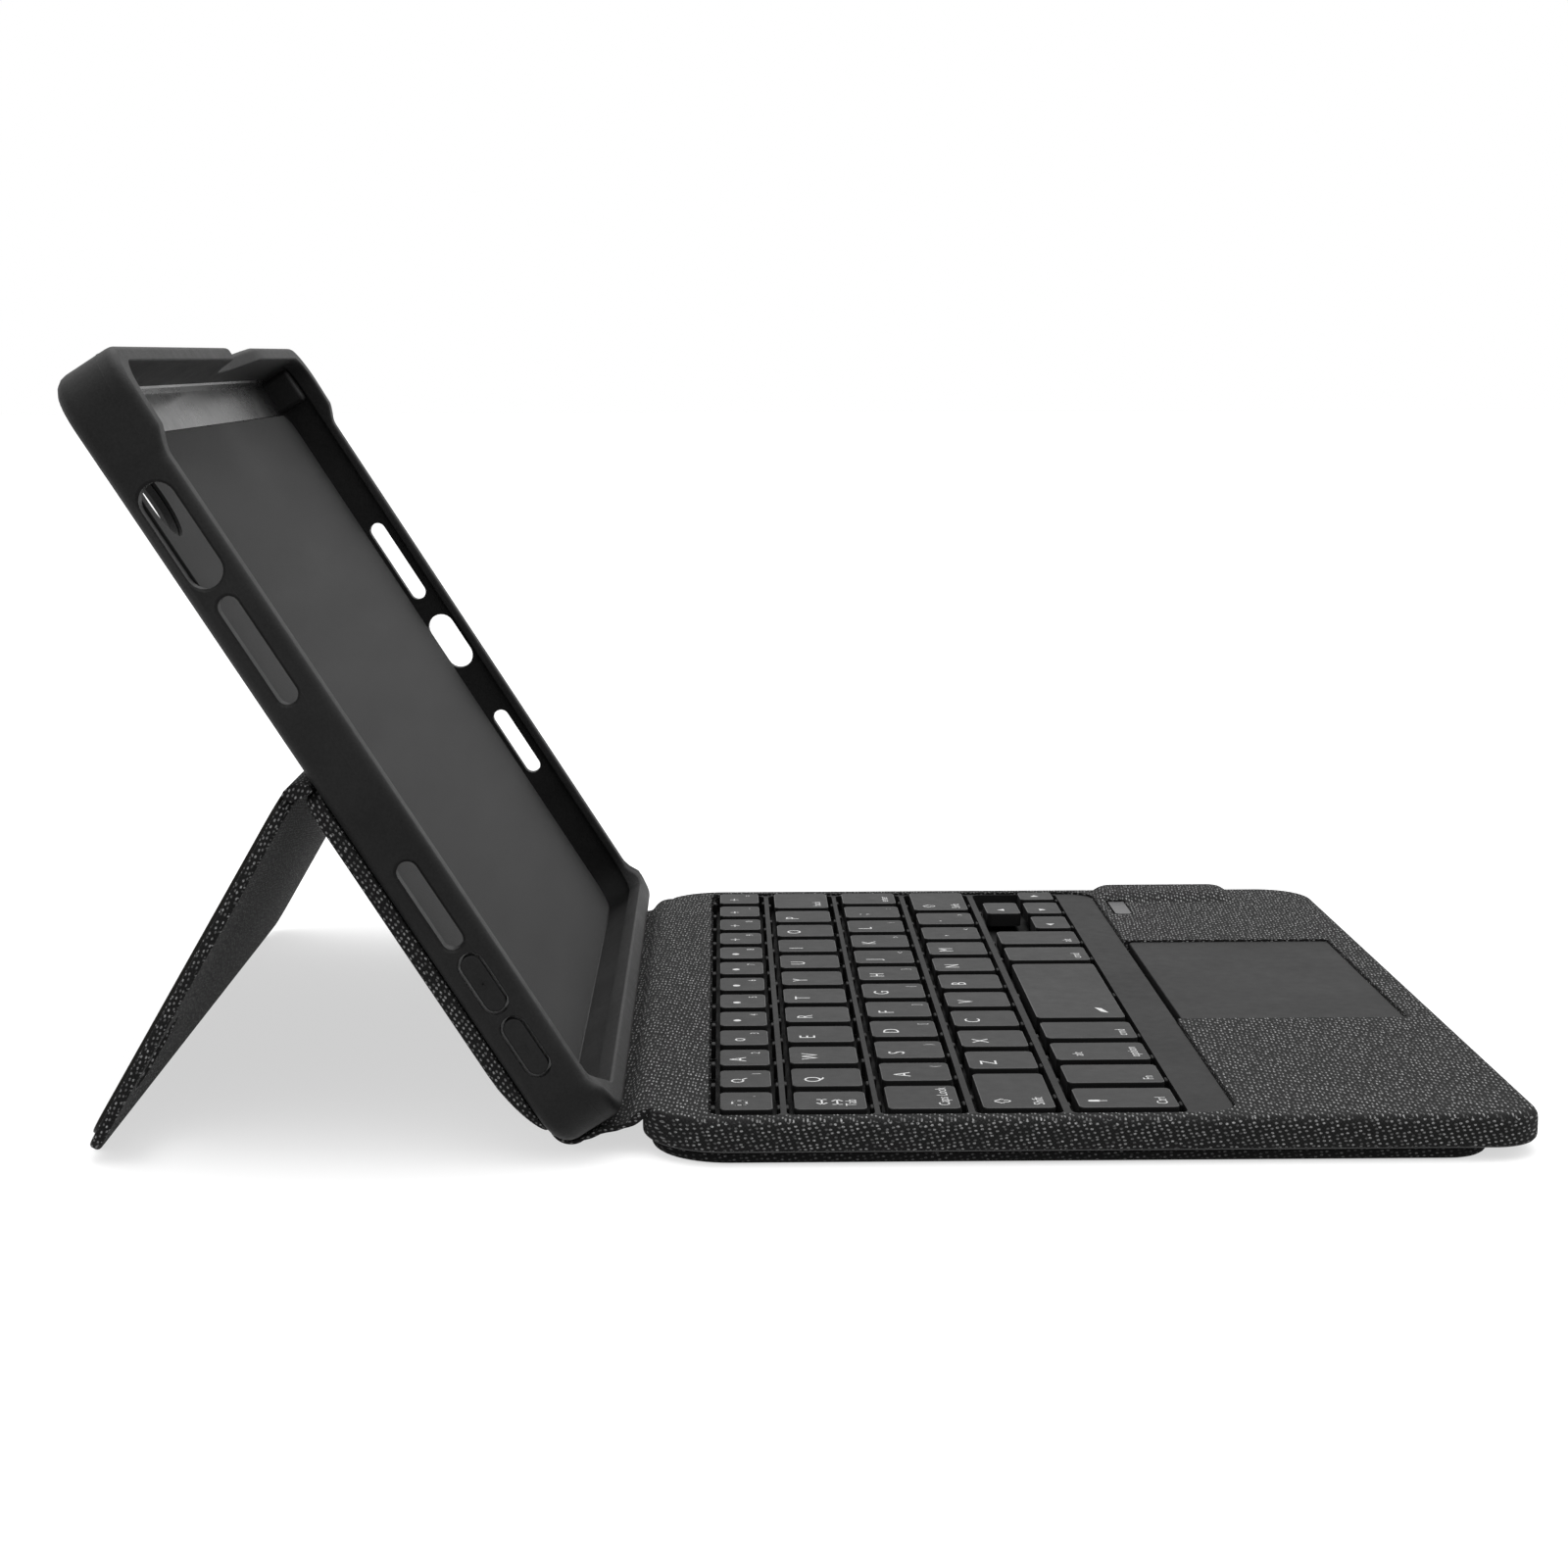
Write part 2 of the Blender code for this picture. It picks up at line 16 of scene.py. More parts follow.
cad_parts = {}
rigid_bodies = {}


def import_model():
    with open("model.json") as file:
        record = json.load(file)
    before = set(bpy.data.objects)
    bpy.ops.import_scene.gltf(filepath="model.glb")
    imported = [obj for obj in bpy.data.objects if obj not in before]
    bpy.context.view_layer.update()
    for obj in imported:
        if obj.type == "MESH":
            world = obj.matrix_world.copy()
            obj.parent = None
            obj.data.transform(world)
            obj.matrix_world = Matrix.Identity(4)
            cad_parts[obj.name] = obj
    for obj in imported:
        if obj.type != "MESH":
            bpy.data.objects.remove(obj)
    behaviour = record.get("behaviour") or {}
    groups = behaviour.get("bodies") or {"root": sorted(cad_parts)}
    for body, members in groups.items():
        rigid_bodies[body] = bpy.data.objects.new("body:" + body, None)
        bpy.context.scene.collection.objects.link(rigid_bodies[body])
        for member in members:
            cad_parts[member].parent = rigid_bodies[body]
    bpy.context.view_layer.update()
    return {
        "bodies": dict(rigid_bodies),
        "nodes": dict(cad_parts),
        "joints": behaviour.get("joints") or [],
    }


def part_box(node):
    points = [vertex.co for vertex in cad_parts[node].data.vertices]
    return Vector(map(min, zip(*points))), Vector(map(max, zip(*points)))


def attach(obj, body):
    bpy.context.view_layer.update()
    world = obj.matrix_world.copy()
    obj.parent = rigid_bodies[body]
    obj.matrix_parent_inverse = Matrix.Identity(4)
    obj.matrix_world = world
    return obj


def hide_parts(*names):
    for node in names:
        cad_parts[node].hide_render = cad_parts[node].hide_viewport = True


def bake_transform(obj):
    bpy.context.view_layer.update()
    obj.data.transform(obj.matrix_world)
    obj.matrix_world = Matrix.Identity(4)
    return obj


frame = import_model()
MM = 0.001
SLUB_SQUEEZE = 0.5  # the cloth's pattern is read slower along X, so its slubs are long
SMALLEST_RADIUS = 0.02
RIM_ANGLE = 50  # degrees; edges of a carved piece that turn more are rounded

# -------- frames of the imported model

JOINTS = {joint["name"]: joint for joint in frame["joints"]}
TRAY_TILT = math.radians(57.5)
STAND_TILT = math.radians(-59.8)
TRAY_OFFSET = Vector((0, 0.75, 0.35))  # from the tray's hinge line to its lower back edge
KEYBOARD_FRONT, KEYBOARD_REAR = -50.6, 100.2
DEPTH_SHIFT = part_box("top_cover")[0].y / MM - KEYBOARD_FRONT
KEYBOARD = Matrix.Translation((0, DEPTH_SHIFT * MM, 0))


def tilted(place, angle):
    return Matrix.Translation(Vector((0, place[1], place[2]))) @ Matrix.Rotation(angle, 4, "X")


TRAY_HINGE = Vector(JOINTS["tray_hinge"]["pos_m"])
SPINE_HINGE = Vector(JOINTS["spine_hinge"]["pos_m"])
STAND_HINGE = Vector(JOINTS["stand_hinge"]["pos_m"])
TRAY = tilted(TRAY_HINGE, TRAY_TILT) @ Matrix.Translation(TRAY_OFFSET * MM)
STAND = tilted(STAND_HINGE, STAND_TILT)
SPINE_RUN = TRAY_HINGE - SPINE_HINGE

# -------- meshes


def rounded_rect(low, high, corner, steps=6, along=(), across=()):
    """Points round a rectangle with round corners, anticlockwise from its lower left corner.

    along and across are extra stations on its upright and level sides."""
    radii = corner if isinstance(corner, tuple) else (corner,) * 4
    radii = [max(radius, SMALLEST_RADIUS) for radius in radii]
    (x0, y0), (x1, y1) = low, high
    ways = ((x0, y0, 1, 1), (x1, y0, -1, 1), (x1, y1, -1, -1), (x0, y1, 1, -1))
    centres = [(x + radius * a, y + radius * b) for radius, (x, y, a, b) in zip(radii, ways)]
    extras = (
        [(x, y0) for x in sorted(across)],
        [(x1, y) for y in sorted(along)],
        [(x, y1) for x in sorted(across, reverse=True)],
        [(x0, y) for y in sorted(along, reverse=True)],
    )
    points = []
    for number, ((x, y), radius) in enumerate(zip(centres, radii)):
        for step in range(steps + 1):
            angle = math.pi * (1 + number / 2 + step / steps / 2)
            points.append((x + radius * math.cos(angle), y + radius * math.sin(angle)))
        points += extras[number]
    return points


def tightened(corner, inset):
    """Corner radii after an outline is moved inwards."""
    if isinstance(corner, tuple):
        return tuple(radius - inset for radius in corner)
    return corner - inset


def stack(rings):
    """A closed bmesh through rings of equal counts, with flat caps on the first and last."""
    work = bmesh.new()
    rows = [[work.verts.new(point) for point in ring] for ring in rings]
    for lower, upper in zip(rows, rows[1:]):
        for i in range(len(lower)):
            j = (i + 1) % len(lower)
            work.faces.new((lower[i], lower[j], upper[j], upper[i]))
    work.faces.new(rows[0][::-1])
    work.faces.new(rows[-1])
    return work


def slab(low, high, corner, profile, steps=6, **stations):
    """A rounded block: profile lists its sections as (inset, level)."""
    rings = []
    for inset, level in profile:
        inner_low = (low[0] + inset, low[1] + inset)
        inner_high = (high[0] - inset, high[1] - inset)
        ring = rounded_rect(inner_low, inner_high, tightened(corner, inset), steps, **stations)
        rings.append([(x, y, level) for x, y in ring])
    return stack(rings)


def arc(centre, radius, first, last, steps):
    """Points of an arc as (first direction, second direction), angles in degrees."""
    turn = [math.radians(first + (last - first) * step / steps) for step in range(steps + 1)]
    return [(centre[0] + radius * math.cos(a), centre[1] + radius * math.sin(a)) for a in turn]


def edge_profile(bottom, top, bottom_radius, top_radius, steps=4):
    """The side of a block as (inset, level), rounded at its two rims."""
    profile = [(0, bottom)]
    if bottom_radius:
        curve = arc((0, bottom + bottom_radius), bottom_radius, -90, 0, steps)
        profile = [(bottom_radius - x, y) for x, y in curve]
    if top_radius:
        curve = arc((0, top - top_radius), top_radius, 0, 90, steps)
        profile += [(top_radius - x, y) for x, y in curve]
    else:
        profile.append((0, top))
    return profile


def round_hole(centre, sections):
    """A round cutter: sections lists its (level, radius)."""
    rings = []
    for level, radius in sections:
        rings.append([(x, y, level) for x, y in arc(centre, radius, 0, 360, 40)[:-1]])
    return stack(rings)


def block(low, high):
    """A small bar, for the signs moulded on the pads."""
    work = bmesh.new()
    bmesh.ops.create_cube(work, size=1.0)
    low, high = Vector(low), Vector(high)
    bmesh.ops.scale(work, vec=high - low, verts=work.verts)
    bmesh.ops.translate(work, vec=(low + high) / 2, verts=work.verts)
    return work


def sweep(outline, low, high, stations=1):
    """An outline of (depth, height) points run along X."""
    rings = []
    for step in range(stations + 1):
        x = low + (high - low) * step / stations
        rings.append([(x, y, z) for y, z in outline])
    return stack(rings)


def stadium(ends, middle, half, x_stations):
    """A long hole with round ends through a side wall: x_stations lists (x, how much wider)."""
    rings = []
    for x, wider in x_stations:
        low = (ends[0] - wider, middle - half - wider)
        high = (ends[1] + wider, middle + half + wider)
        rings.append([(x, v, w) for v, w in rounded_rect(low, high, half + wider - 0.01, 6)])
    return stack(rings)


def box_uv(mesh):
    """A UV map in millimetres, each face seen along its own main direction, for cloth and grain.

    Threads along X are drawn long, as the cloth's slubs are."""
    layer = mesh.uv_layers.new(name="cloth")
    for face in mesh.polygons:
        normal = face.normal
        main = max(range(3), key=lambda axis: abs(normal[axis]))
        first, second = [(1, 2), (0, 2), (0, 1)][main]
        for loop in face.loop_indices:
            point = mesh.vertices[mesh.loops[loop].vertex_index].co
            sideways = SLUB_SQUEEZE if first == 0 else 1.0
            layer.data[loop].uv = (point[first] * sideways, point[second])


def mesh_from(work, name="part"):
    mesh = bpy.data.meshes.new(name)
    work.to_mesh(mesh)
    work.free()
    return mesh


def bmesh_from(mesh):
    work = bmesh.new()
    work.from_mesh(mesh)
    bpy.data.meshes.remove(mesh)
    return work


def new_object(name, data):
    obj = bpy.data.objects.new(name, data)
    bpy.context.scene.collection.objects.link(obj)
    return obj


def add(name, work, place, *finish):
    """A shown piece from a bmesh in millimetres, in one of the frames."""
    bmesh.ops.recalc_face_normals(work, faces=work.faces)
    return add_mesh(name, mesh_from(work), place, *finish)


def add_mesh(name, mesh, place, materials, sharp=32, body=None, slot=None, replaces=()):
    mesh.name = name
    box_uv(mesh)
    mesh.shade_smooth()
    mesh.set_sharp_from_angle(angle=math.radians(sharp))
    mesh.transform(place @ Matrix.Scale(MM, 4))
    obj = new_object(name, mesh)
    materials = materials if isinstance(materials, (list, tuple)) else [materials]
    for material in materials:
        mesh.materials.append(material)
    normals = obj.modifiers.new("normals", "WEIGHTED_NORMAL")
    normals.keep_sharp = True
    if body:
        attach(obj, body)
    if replaces:
        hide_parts(*replaces)
    return obj


def carved(work, cutters, operation="DIFFERENCE", rim=0.0, rim_steps=2):
    """The mesh left when cutters are taken from a bmesh, its cut edges rounded to rim."""
    made = []
    for source in (work, *cutters):
        bmesh.ops.recalc_face_normals(source, faces=source.faces)
        made.append(new_object("carve", mesh_from(source)))
    body = made[0]
    for cutter in made[1:]:
        boolean = body.modifiers.new("cut", "BOOLEAN")
        boolean.operation = operation
        boolean.solver = "EXACT"
        boolean.object = cutter
    if rim:
        bevel = body.modifiers.new("rim", "BEVEL")
        bevel.width = rim
        bevel.segments = rim_steps
        bevel.limit_method = "ANGLE"
        bevel.angle_limit = math.radians(RIM_ANGLE)
        bevel.use_clamp_overlap = True
    bpy.context.scene.view_layers[0].update()
    evaluated = body.evaluated_get(bpy.context.evaluated_depsgraph_get())
    mesh = bpy.data.meshes.new_from_object(evaluated)
    for obj in made:
        old = obj.data
        bpy.data.objects.remove(obj)
        bpy.data.meshes.remove(old)
    return mesh


def joined(*works):
    """One bmesh from several that lap over each other; each face keeps its material and side."""
    whole = bmesh.new()
    for work in works:
        mesh = mesh_from(work)
        whole.from_mesh(mesh)
        bpy.data.meshes.remove(mesh)
    return whole


# -------- materials


class Shader:
    """A material's node tree, built from the Principled shader backwards."""

    def __init__(self, name, colour, roughness, **settings):
        self.material = bpy.data.materials.new(name)
        self.material.use_nodes = True
        self.tree = self.material.node_tree
        self.principled = self.tree.nodes["Principled BSDF"]
        self.principled.inputs["Base Color"].default_value = (*colour, 1)
        self.principled.inputs["Roughness"].default_value = roughness
        for socket, value in settings.items():
            self.principled.inputs[socket.replace("_", " ")].default_value = value

    def node(self, kind, inputs=None, **settings):
        node = self.tree.nodes.new(kind)
        for name, value in settings.items():
            setattr(node, name, value)
        for socket, value in (inputs or {}).items():
            if isinstance(value, bpy.types.NodeSocket):
                self.tree.links.new(value, node.inputs[socket])
            else:
                node.inputs[socket].default_value = value
        return node

    def math(self, operation, first, second=0.0):
        return self.node("ShaderNodeMath", {0: first, 1: second}, operation=operation).outputs[0]

    def weigh(self, first, share, second):
        """share of the first value and the rest of the second."""
        rest = self.math("MULTIPLY", second, 1 - share)
        return self.math("ADD", self.math("MULTIPLY", first, share), rest)

    def span(self, value, low, high, new_low=0.0, new_high=1.0):
        inputs = {"Value": value, "From Min": low, "From Max": high}
        inputs |= {"To Min": new_low, "To Max": new_high}
        return self.node("ShaderNodeMapRange", inputs).outputs["Result"]

    def mix(self, share, first, second):
        """A colour between two; 6, 7 and 2 are the Mix node's colour sockets."""
        inputs = {0: share, 6: first, 7: second}
        return self.node("ShaderNodeMix", inputs, data_type="RGBA").outputs[2]

    def coordinates(self, kind="Object", scale=(1, 1, 1), turn=0.0):
        source = self.node("ShaderNodeTexCoord").outputs[kind]
        mapping = {"Vector": source, "Scale": scale, "Rotation": (0, 0, turn)}
        return self.node("ShaderNodeMapping", mapping).outputs["Vector"]

    def noise(self, vector, scale, detail=2.0, roughness=0.5):
        inputs = {"Vector": vector, "Scale": scale, "Detail": detail, "Roughness": roughness}
        return self.node("ShaderNodeTexNoise", inputs).outputs["Fac"]

    def bump(self, height, distance, strength=1.0):
        inputs = {"Height": height, "Distance": distance, "Strength": strength}
        self.connect("Normal", self.node("ShaderNodeBump", inputs).outputs["Normal"])

    def connect(self, socket, value):
        self.tree.links.new(value, self.principled.inputs[socket])


def grey(value):
    return (value, value, value, 1)


# The cloth's sizes in millimetres
THREAD_PITCH = 0.62
FLECK_CELL = (1.1, 0.68)
FLECK_TURN = 0.25
WEAVE_DEPTH = 0.00007  # metres


def cloth(name, dark, pale, fleck_share, sheen):
    """Melange canvas: a fine plain weave with pale flecks where a light thread comes up."""
    finish = {"Sheen_Weight": sheen, "Sheen_Roughness": 0.5, "Specular_IOR_Level": 0.08}
    shader = Shader(name, (dark,) * 3, 0.85, **finish)
    place = shader.coordinates("UV")
    across, up = [shader.node("ShaderNodeSeparateXYZ", {0: place}).outputs[axis] for axis in (0, 1)]
    pitch = 2 * math.pi / THREAD_PITCH
    warp = shader.math("SINE", shader.math("MULTIPLY", across, pitch))
    weft = shader.math("SINE", shader.math("MULTIPLY", up, pitch))
    threads = shader.math("MULTIPLY", warp, weft)
    spread = shader.coordinates("UV", (1 / FLECK_CELL[0], 1 / FLECK_CELL[1], 1), FLECK_TURN)
    cell = {"Vector": spread, "Scale": 1.0, "Randomness": 0.45}
    cells = shader.node("ShaderNodeTexVoronoi", cell, voronoi_dimensions="2D")
    core = shader.span(cells.outputs["Distance"], 0.15, 0.3, 1, 0)
    chance = shader.node("ShaderNodeSeparateColor", {0: cells.outputs["Color"]}).outputs[0]
    chosen = shader.span(chance, 1 - fleck_share, 1.0, 0.25, 1.0)
    fuzz = shader.span(shader.noise(place, 6.0, 2), 0.3, 0.65)
    fleck = shader.math("MULTIPLY", shader.math("MULTIPLY", core, chosen), fuzz)
    blotch = shader.noise(place, 0.12, 3)
    ground = shader.mix(shader.span(threads, -1, 1), grey(dark * 0.55), grey(dark * 1.5))
    ground = shader.mix(shader.span(blotch, 0.3, 0.7, 0, 0.35), ground, grey(dark * 1.6))
    shader.connect("Base Color", shader.mix(fleck, ground, grey(pale)))
    shader.connect("Roughness", shader.span(fleck, 0, 1, 0.88, 0.7))
    height = shader.math("ADD", shader.math("MULTIPLY", threads, 0.5), fleck)
    shader.bump(height, WEAVE_DEPTH, 0.8)
    return shader.material


def moulding(name, colour, roughness, grain, specular, wear=0.25, **settings):
    """Moulded plastic or rubber: a fine blasted grain, and faint clouds of tone and gloss.

    colour is a tuple or one grey value, and grain is the bump's depth in metres."""
    colour = colour if isinstance(colour, tuple) else (colour,) * 3
    shader = Shader(name, colour, roughness, Specular_IOR_Level=specular, **settings)
    place = shader.coordinates()
    fine = shader.noise(place, 2200, 4, 0.75)
    cloud = shader.noise(place, 55, 3)
    rubbed = shader.noise(place, 420, 4)
    tone = shader.weigh(fine, 0.5, cloud)
    low = tuple(c * (1 - wear) for c in colour)
    high = tuple(c * (1 + wear) for c in colour)
    shader.connect("Base Color", shader.mix(shader.span(tone, 0.35, 0.65), (*low, 1), (*high, 1)))
    gloss = shader.weigh(cloud, 0.6, rubbed)
    shader.connect("Roughness", shader.span(gloss, 0.3, 0.7, roughness - 0.06, roughness + 0.06))
    shader.bump(fine, grain)
    return shader.material


def suede(name, dark):
    """Microfibre: a soft nap that catches light in patches."""
    finish = {"Sheen_Weight": 0.06, "Sheen_Roughness": 0.4, "Specular_IOR_Level": 0.08}
    shader = Shader(name, (dark,) * 3, 0.9, **finish)
    place = shader.coordinates("UV")
    nap = shader.noise(place, 3.2, 4, 0.7)
    stroke = shader.noise(shader.coordinates("UV", (0.03, 0.09, 1), 0.5), 1.0, 3)
    tone = shader.weigh(nap, 0.35, stroke)
    share = shader.span(tone, 0.35, 0.65)
    shader.connect("Base Color", shader.mix(share, grey(dark * 0.7), grey(dark * 1.4)))
    shader.connect("Roughness", shader.span(nap, 0.3, 0.7, 0.8, 0.95))
    shader.bump(nap, 0.00005)
    return shader.material


def printed(name, value):
    """Legend ink, slightly uneven."""
    shader = Shader(name, (value,) * 3, 0.5, Specular_IOR_Level=0.3)
    patch = shader.noise(shader.coordinates(), 3000, 2)
    share = shader.span(patch, 0.3, 0.7)
    shader.connect("Base Color", shader.mix(share, grey(value * 0.8), grey(value * 1.1)))
    shader.connect("Roughness", shader.span(patch, 0.3, 0.7, 0.42, 0.58))
    shader.bump(patch, 0.000005)
    return shader.material


CLOTH = cloth("melange_canvas", 0.0055, 0.28, fleck_share=0.9, sheen=0.01)
BASE_CLOTH = cloth("base_canvas", 0.002, 0.08, fleck_share=0.7, sheen=0.0)
LINING = suede("microfibre", 0.007)
LEGEND = printed("legend_ink", 0.34)
SKIN = moulding("coated_base", 0.002, 0.65, grain=3e-5, specular=0.06)
RUBBER = moulding("soft_tpu", 0.005, 0.55, grain=6e-5, specular=0.13, wear=0.6)
CHANNEL = moulding("polished_tpu", 0.005, 0.28, grain=6e-6, specular=0.4)
# The stand's backing: a dark lining, made darker than the bay's lining as painted shade on its
# down-facing face and tinted warm as a painted olive sheen.
FLAP_LINING_SHADE_AND_SHEEN = moulding("flap_lining_painted_shade_and_sheen", (0.0042, 0.0037, 0.0026), 0.42, grain=2e-5, specular=0.12)
DECK = moulding("deck_plastic", 0.0055, 0.55, grain=1e-5, specular=0.07)
KEY = moulding("key_plastic", 0.0085, 0.5, grain=8e-6, specular=0.09)
# Key sides: a darker copy of the key plastic, painted shade on the sides of the caps.
KEY_SIDE_SHADE = moulding("key_skirt_plastic", 0.004, 0.6, grain=8e-6, specular=0.08)
# Key rims: a paler, glossier copy of the key plastic on the rounded upper edge, a painted highlight.
KEY_RIM_HIGHLIGHT = moulding("key_rim_plastic", 0.02, 0.4, grain=8e-6, specular=0.3)
PAD = moulding("touchpad_film", 0.0095, 0.55, grain=4e-6, specular=0.06, wear=0.05)
WELT = moulding("edge_welt", 0.05, 0.55, grain=2e-5, specular=0.2)
WINDOW = moulding("milky_window", (0.019, 0.019, 0.02), 0.35, grain=4e-6, specular=0.2)
BOARD = moulding("circuit_board", (0.02, 0.07, 0.03), 0.45, grain=1e-5, specular=0.5)
METAL = {"specular": 0.5, "wear": 0.1, "Metallic": 1.0}
SHEET_METAL = moulding("sheet_metal", (0.5, 0.5, 0.51), 0.35, grain=1e-5, **METAL)
FOIL = moulding("foil", (0.55, 0.55, 0.57), 0.3, grain=2e-5, **METAL)

# -------- tray

HALF = 101.5
TRAY_LENGTH = 150.5
TRAY_CORNER = 9.0
BUMPER, RIM = 12.3, 10.6
LIP = 1.7  # the rim's radius
PARTING_RIDGE = 0.07
RECESS = 0.4  # the side walls between the bumpers stand back by this much
FLOOR, CEILING = 1.9, 9.2
MOUTH_LOW, MOUTH_HIGH, MOUTH_HALF = 4.6, 147.3, 96.2
MOUTH_CORNER = 7.0
BAY_LOW, BAY_HALF, BAY_CORNER = 3.0, 97.9, 8.0
CHANNEL_START = 138.4
STOP_SIDES = (92.4, 97.8)
NOTCH = ((10.0, 0.0), (12.0, 3.0), (14.5, 4.8), (18.0, 5.1), (26.0, 3.8), (37.0, 1.0), (42.0, 0.0))
NOTCH_START = 144.0
WINDOW_MIDDLE = 5.2
POWER_WINDOW = ((109.2, 128.4), 3.1)
SPEAKER_WINDOWS = (((86.8, 107.0), 1.8), ((38.8, 55.6), 1.8))
PORT_WINDOW = ((68.2, 81.8), 3.0)
PADS = {"volume_up_pad": ((26.4, 37.0), "volume_up"), "volume_down_pad": ((13.8, 24.4), "volume_down")}
PAD_MIDDLE = WINDOW_MIDDLE + 0.2
PAD_HALF, PAD_GROOVE = 1.85, 0.45
PAD_FACE = -101.14
PAD_SECTION = ((0.0, -98.7), (0.0, -100.75), (0.08, -100.98), (0.25, -101.1), (0.6, PAD_FACE))
SIGN_SUNK, SIGN_RAISED, SIGN_PEN = 0.3, 0.08, 0.13
SIGN_REACH = {"minus": 0.95, "plus": 0.8}  # half the level bar, half the upright one
CAMERA_HOLE = (-87.0, 126.5)
CAMERA_RADIUS = 6.5


def smooth(value, start, end):
    share = min(max((value - start) / (end - start), 0.0), 1.0)
    return share * share * (3 - 2 * share)


def notch_depth(x):
    for (x0, d0), (x1, d1) in zip(NOTCH, NOTCH[1:]):
        if x0 <= x <= x1:
            return d0 + (d1 - d0) * (x - x0) / (x1 - x0)
    return 0.0


def between_bumpers(v):
    return smooth(v, 5.5, 9.0) * (1 - smooth(v, 130.5, 136.5))


def side_recess(v):
    return RECESS * smooth(v, 6.5, 8.0) * (1 - smooth(v, 132.0, 133.0))


def rim_level(x, v):
    level = BUMPER + (RIM - BUMPER) * between_bumpers(v)
    return level - (notch_depth(x) if v > NOTCH_START else 0.0)


def tray_ring(half, low, high, corner, drop=None, level=None):
    """A ring round the tray: drop is how far below the rim it lies, or level its own height."""
    across = [x for x, _ in NOTCH] + [-80, -60, -40, -20, 0, 50, 65, 80]
    along = [12, 20, 40, 60, 80, 100, 115, 125] + [128 + step * 0.5 for step in range(16)]
    ring = []
    for x, v in rounded_rect((-half, low), (half, high), corner, 8, along=along, across=across):
        if abs(x) > MOUTH_HALF + 1.5 and half > BAY_HALF + 1:
            x -= math.copysign(side_recess(v), x)
        rim = rim_level(x, v)
        w = rim - drop if drop is not None else min(level, rim - 0.9)
        ring.append((x, v, w))
    return ring


def tray_moulding():
    """The shell from its back edge out over the rim and down into the bay, then its openings."""
    rings = []
    for inset, w in edge_profile(0.0, 6.0, 3.0, 0, 4)[:-1]:
        rings.append(tray_ring(HALF - inset, inset, TRAY_LENGTH - inset, TRAY_CORNER - inset, level=w))
    for outward, drop in ((0.0, 3.5), (PARTING_RIDGE, 3.35), (PARTING_RIDGE, 3.25), (0.0, 3.1)):
        rings.append(tray_ring(HALF + outward, -outward, TRAY_LENGTH + outward, TRAY_CORNER, drop=drop))
    for inset, drop in [(LIP - x, LIP - y) for x, y in arc((0, 0), LIP, 0, 90, 5)]:
        high = TRAY_LENGTH - inset * 0.8
        rings.append(tray_ring(HALF - inset, inset, high, TRAY_CORNER - inset, drop=drop))
    for wider, drop in ((0.55, 0.0), (0.2, 0.15), (0.0, 0.5)):
        low, high = MOUTH_LOW - wider, MOUTH_HIGH + wider * 0.4
        rings.append(tray_ring(MOUTH_HALF + wider, low, high, MOUTH_CORNER + wider, drop=drop))
    inside = (
        (MOUTH_HALF, MOUTH_LOW, MOUTH_HIGH, MOUTH_CORNER, CEILING - 0.15),
        (MOUTH_HALF + 0.3, MOUTH_LOW - 0.3, MOUTH_HIGH, MOUTH_CORNER + 0.3, CEILING),
        (BAY_HALF, BAY_LOW, MOUTH_HIGH, BAY_CORNER, CEILING - 0.1),
        (BAY_HALF, BAY_LOW, MOUTH_HIGH, BAY_CORNER, FLOOR + 0.6),
        (BAY_HALF - 0.6, BAY_LOW + 0.6, MOUTH_HIGH - 0.6, BAY_CORNER - 0.6, FLOOR),
    )
    for *outline, level in inside:
        rings.append(tray_ring(*outline, level=level))

    inner, outer, clear = BAY_HALF - 2, HALF - RECESS, HALF + 2
    cutters = []
    for side, window in ((-1, POWER_WINDOW), (1, PORT_WINDOW)):
        wall = ((inner, 0.0), (outer - 0.5, 0.0), (outer + 0.02, 0.5), (clear, 0.6))
        for ends, half in (window, *SPEAKER_WINDOWS):
            stations = [(side * x, wider) for x, wider in wall]
            cutters.append(stadium(ends, WINDOW_MIDDLE, half, stations))
    wall = ((-inner, 0.0), (0.12 - outer, 0.0), (-outer - 0.02, 0.12), (-clear, 0.15))
    for (low, high), _ in PADS.values():
        ends = (low - PAD_GROOVE, high + PAD_GROOVE)
        cutters.append(stadium(ends, PAD_MIDDLE, PAD_HALF + PAD_GROOVE, wall))
    flare = CAMERA_RADIUS + 0.8
    sections = ((-3.0, flare), (0.0, flare), (0.8, CAMERA_RADIUS), (FLOOR + 3, CAMERA_RADIUS))
    cutters.append(round_hole(CAMERA_HOLE, sections))
    mesh = carved(stack(rings), cutters)
    add_mesh("tray_moulding", mesh, TRAY, RUBBER, 40, "tray", "tpu", ["tray_shell"])


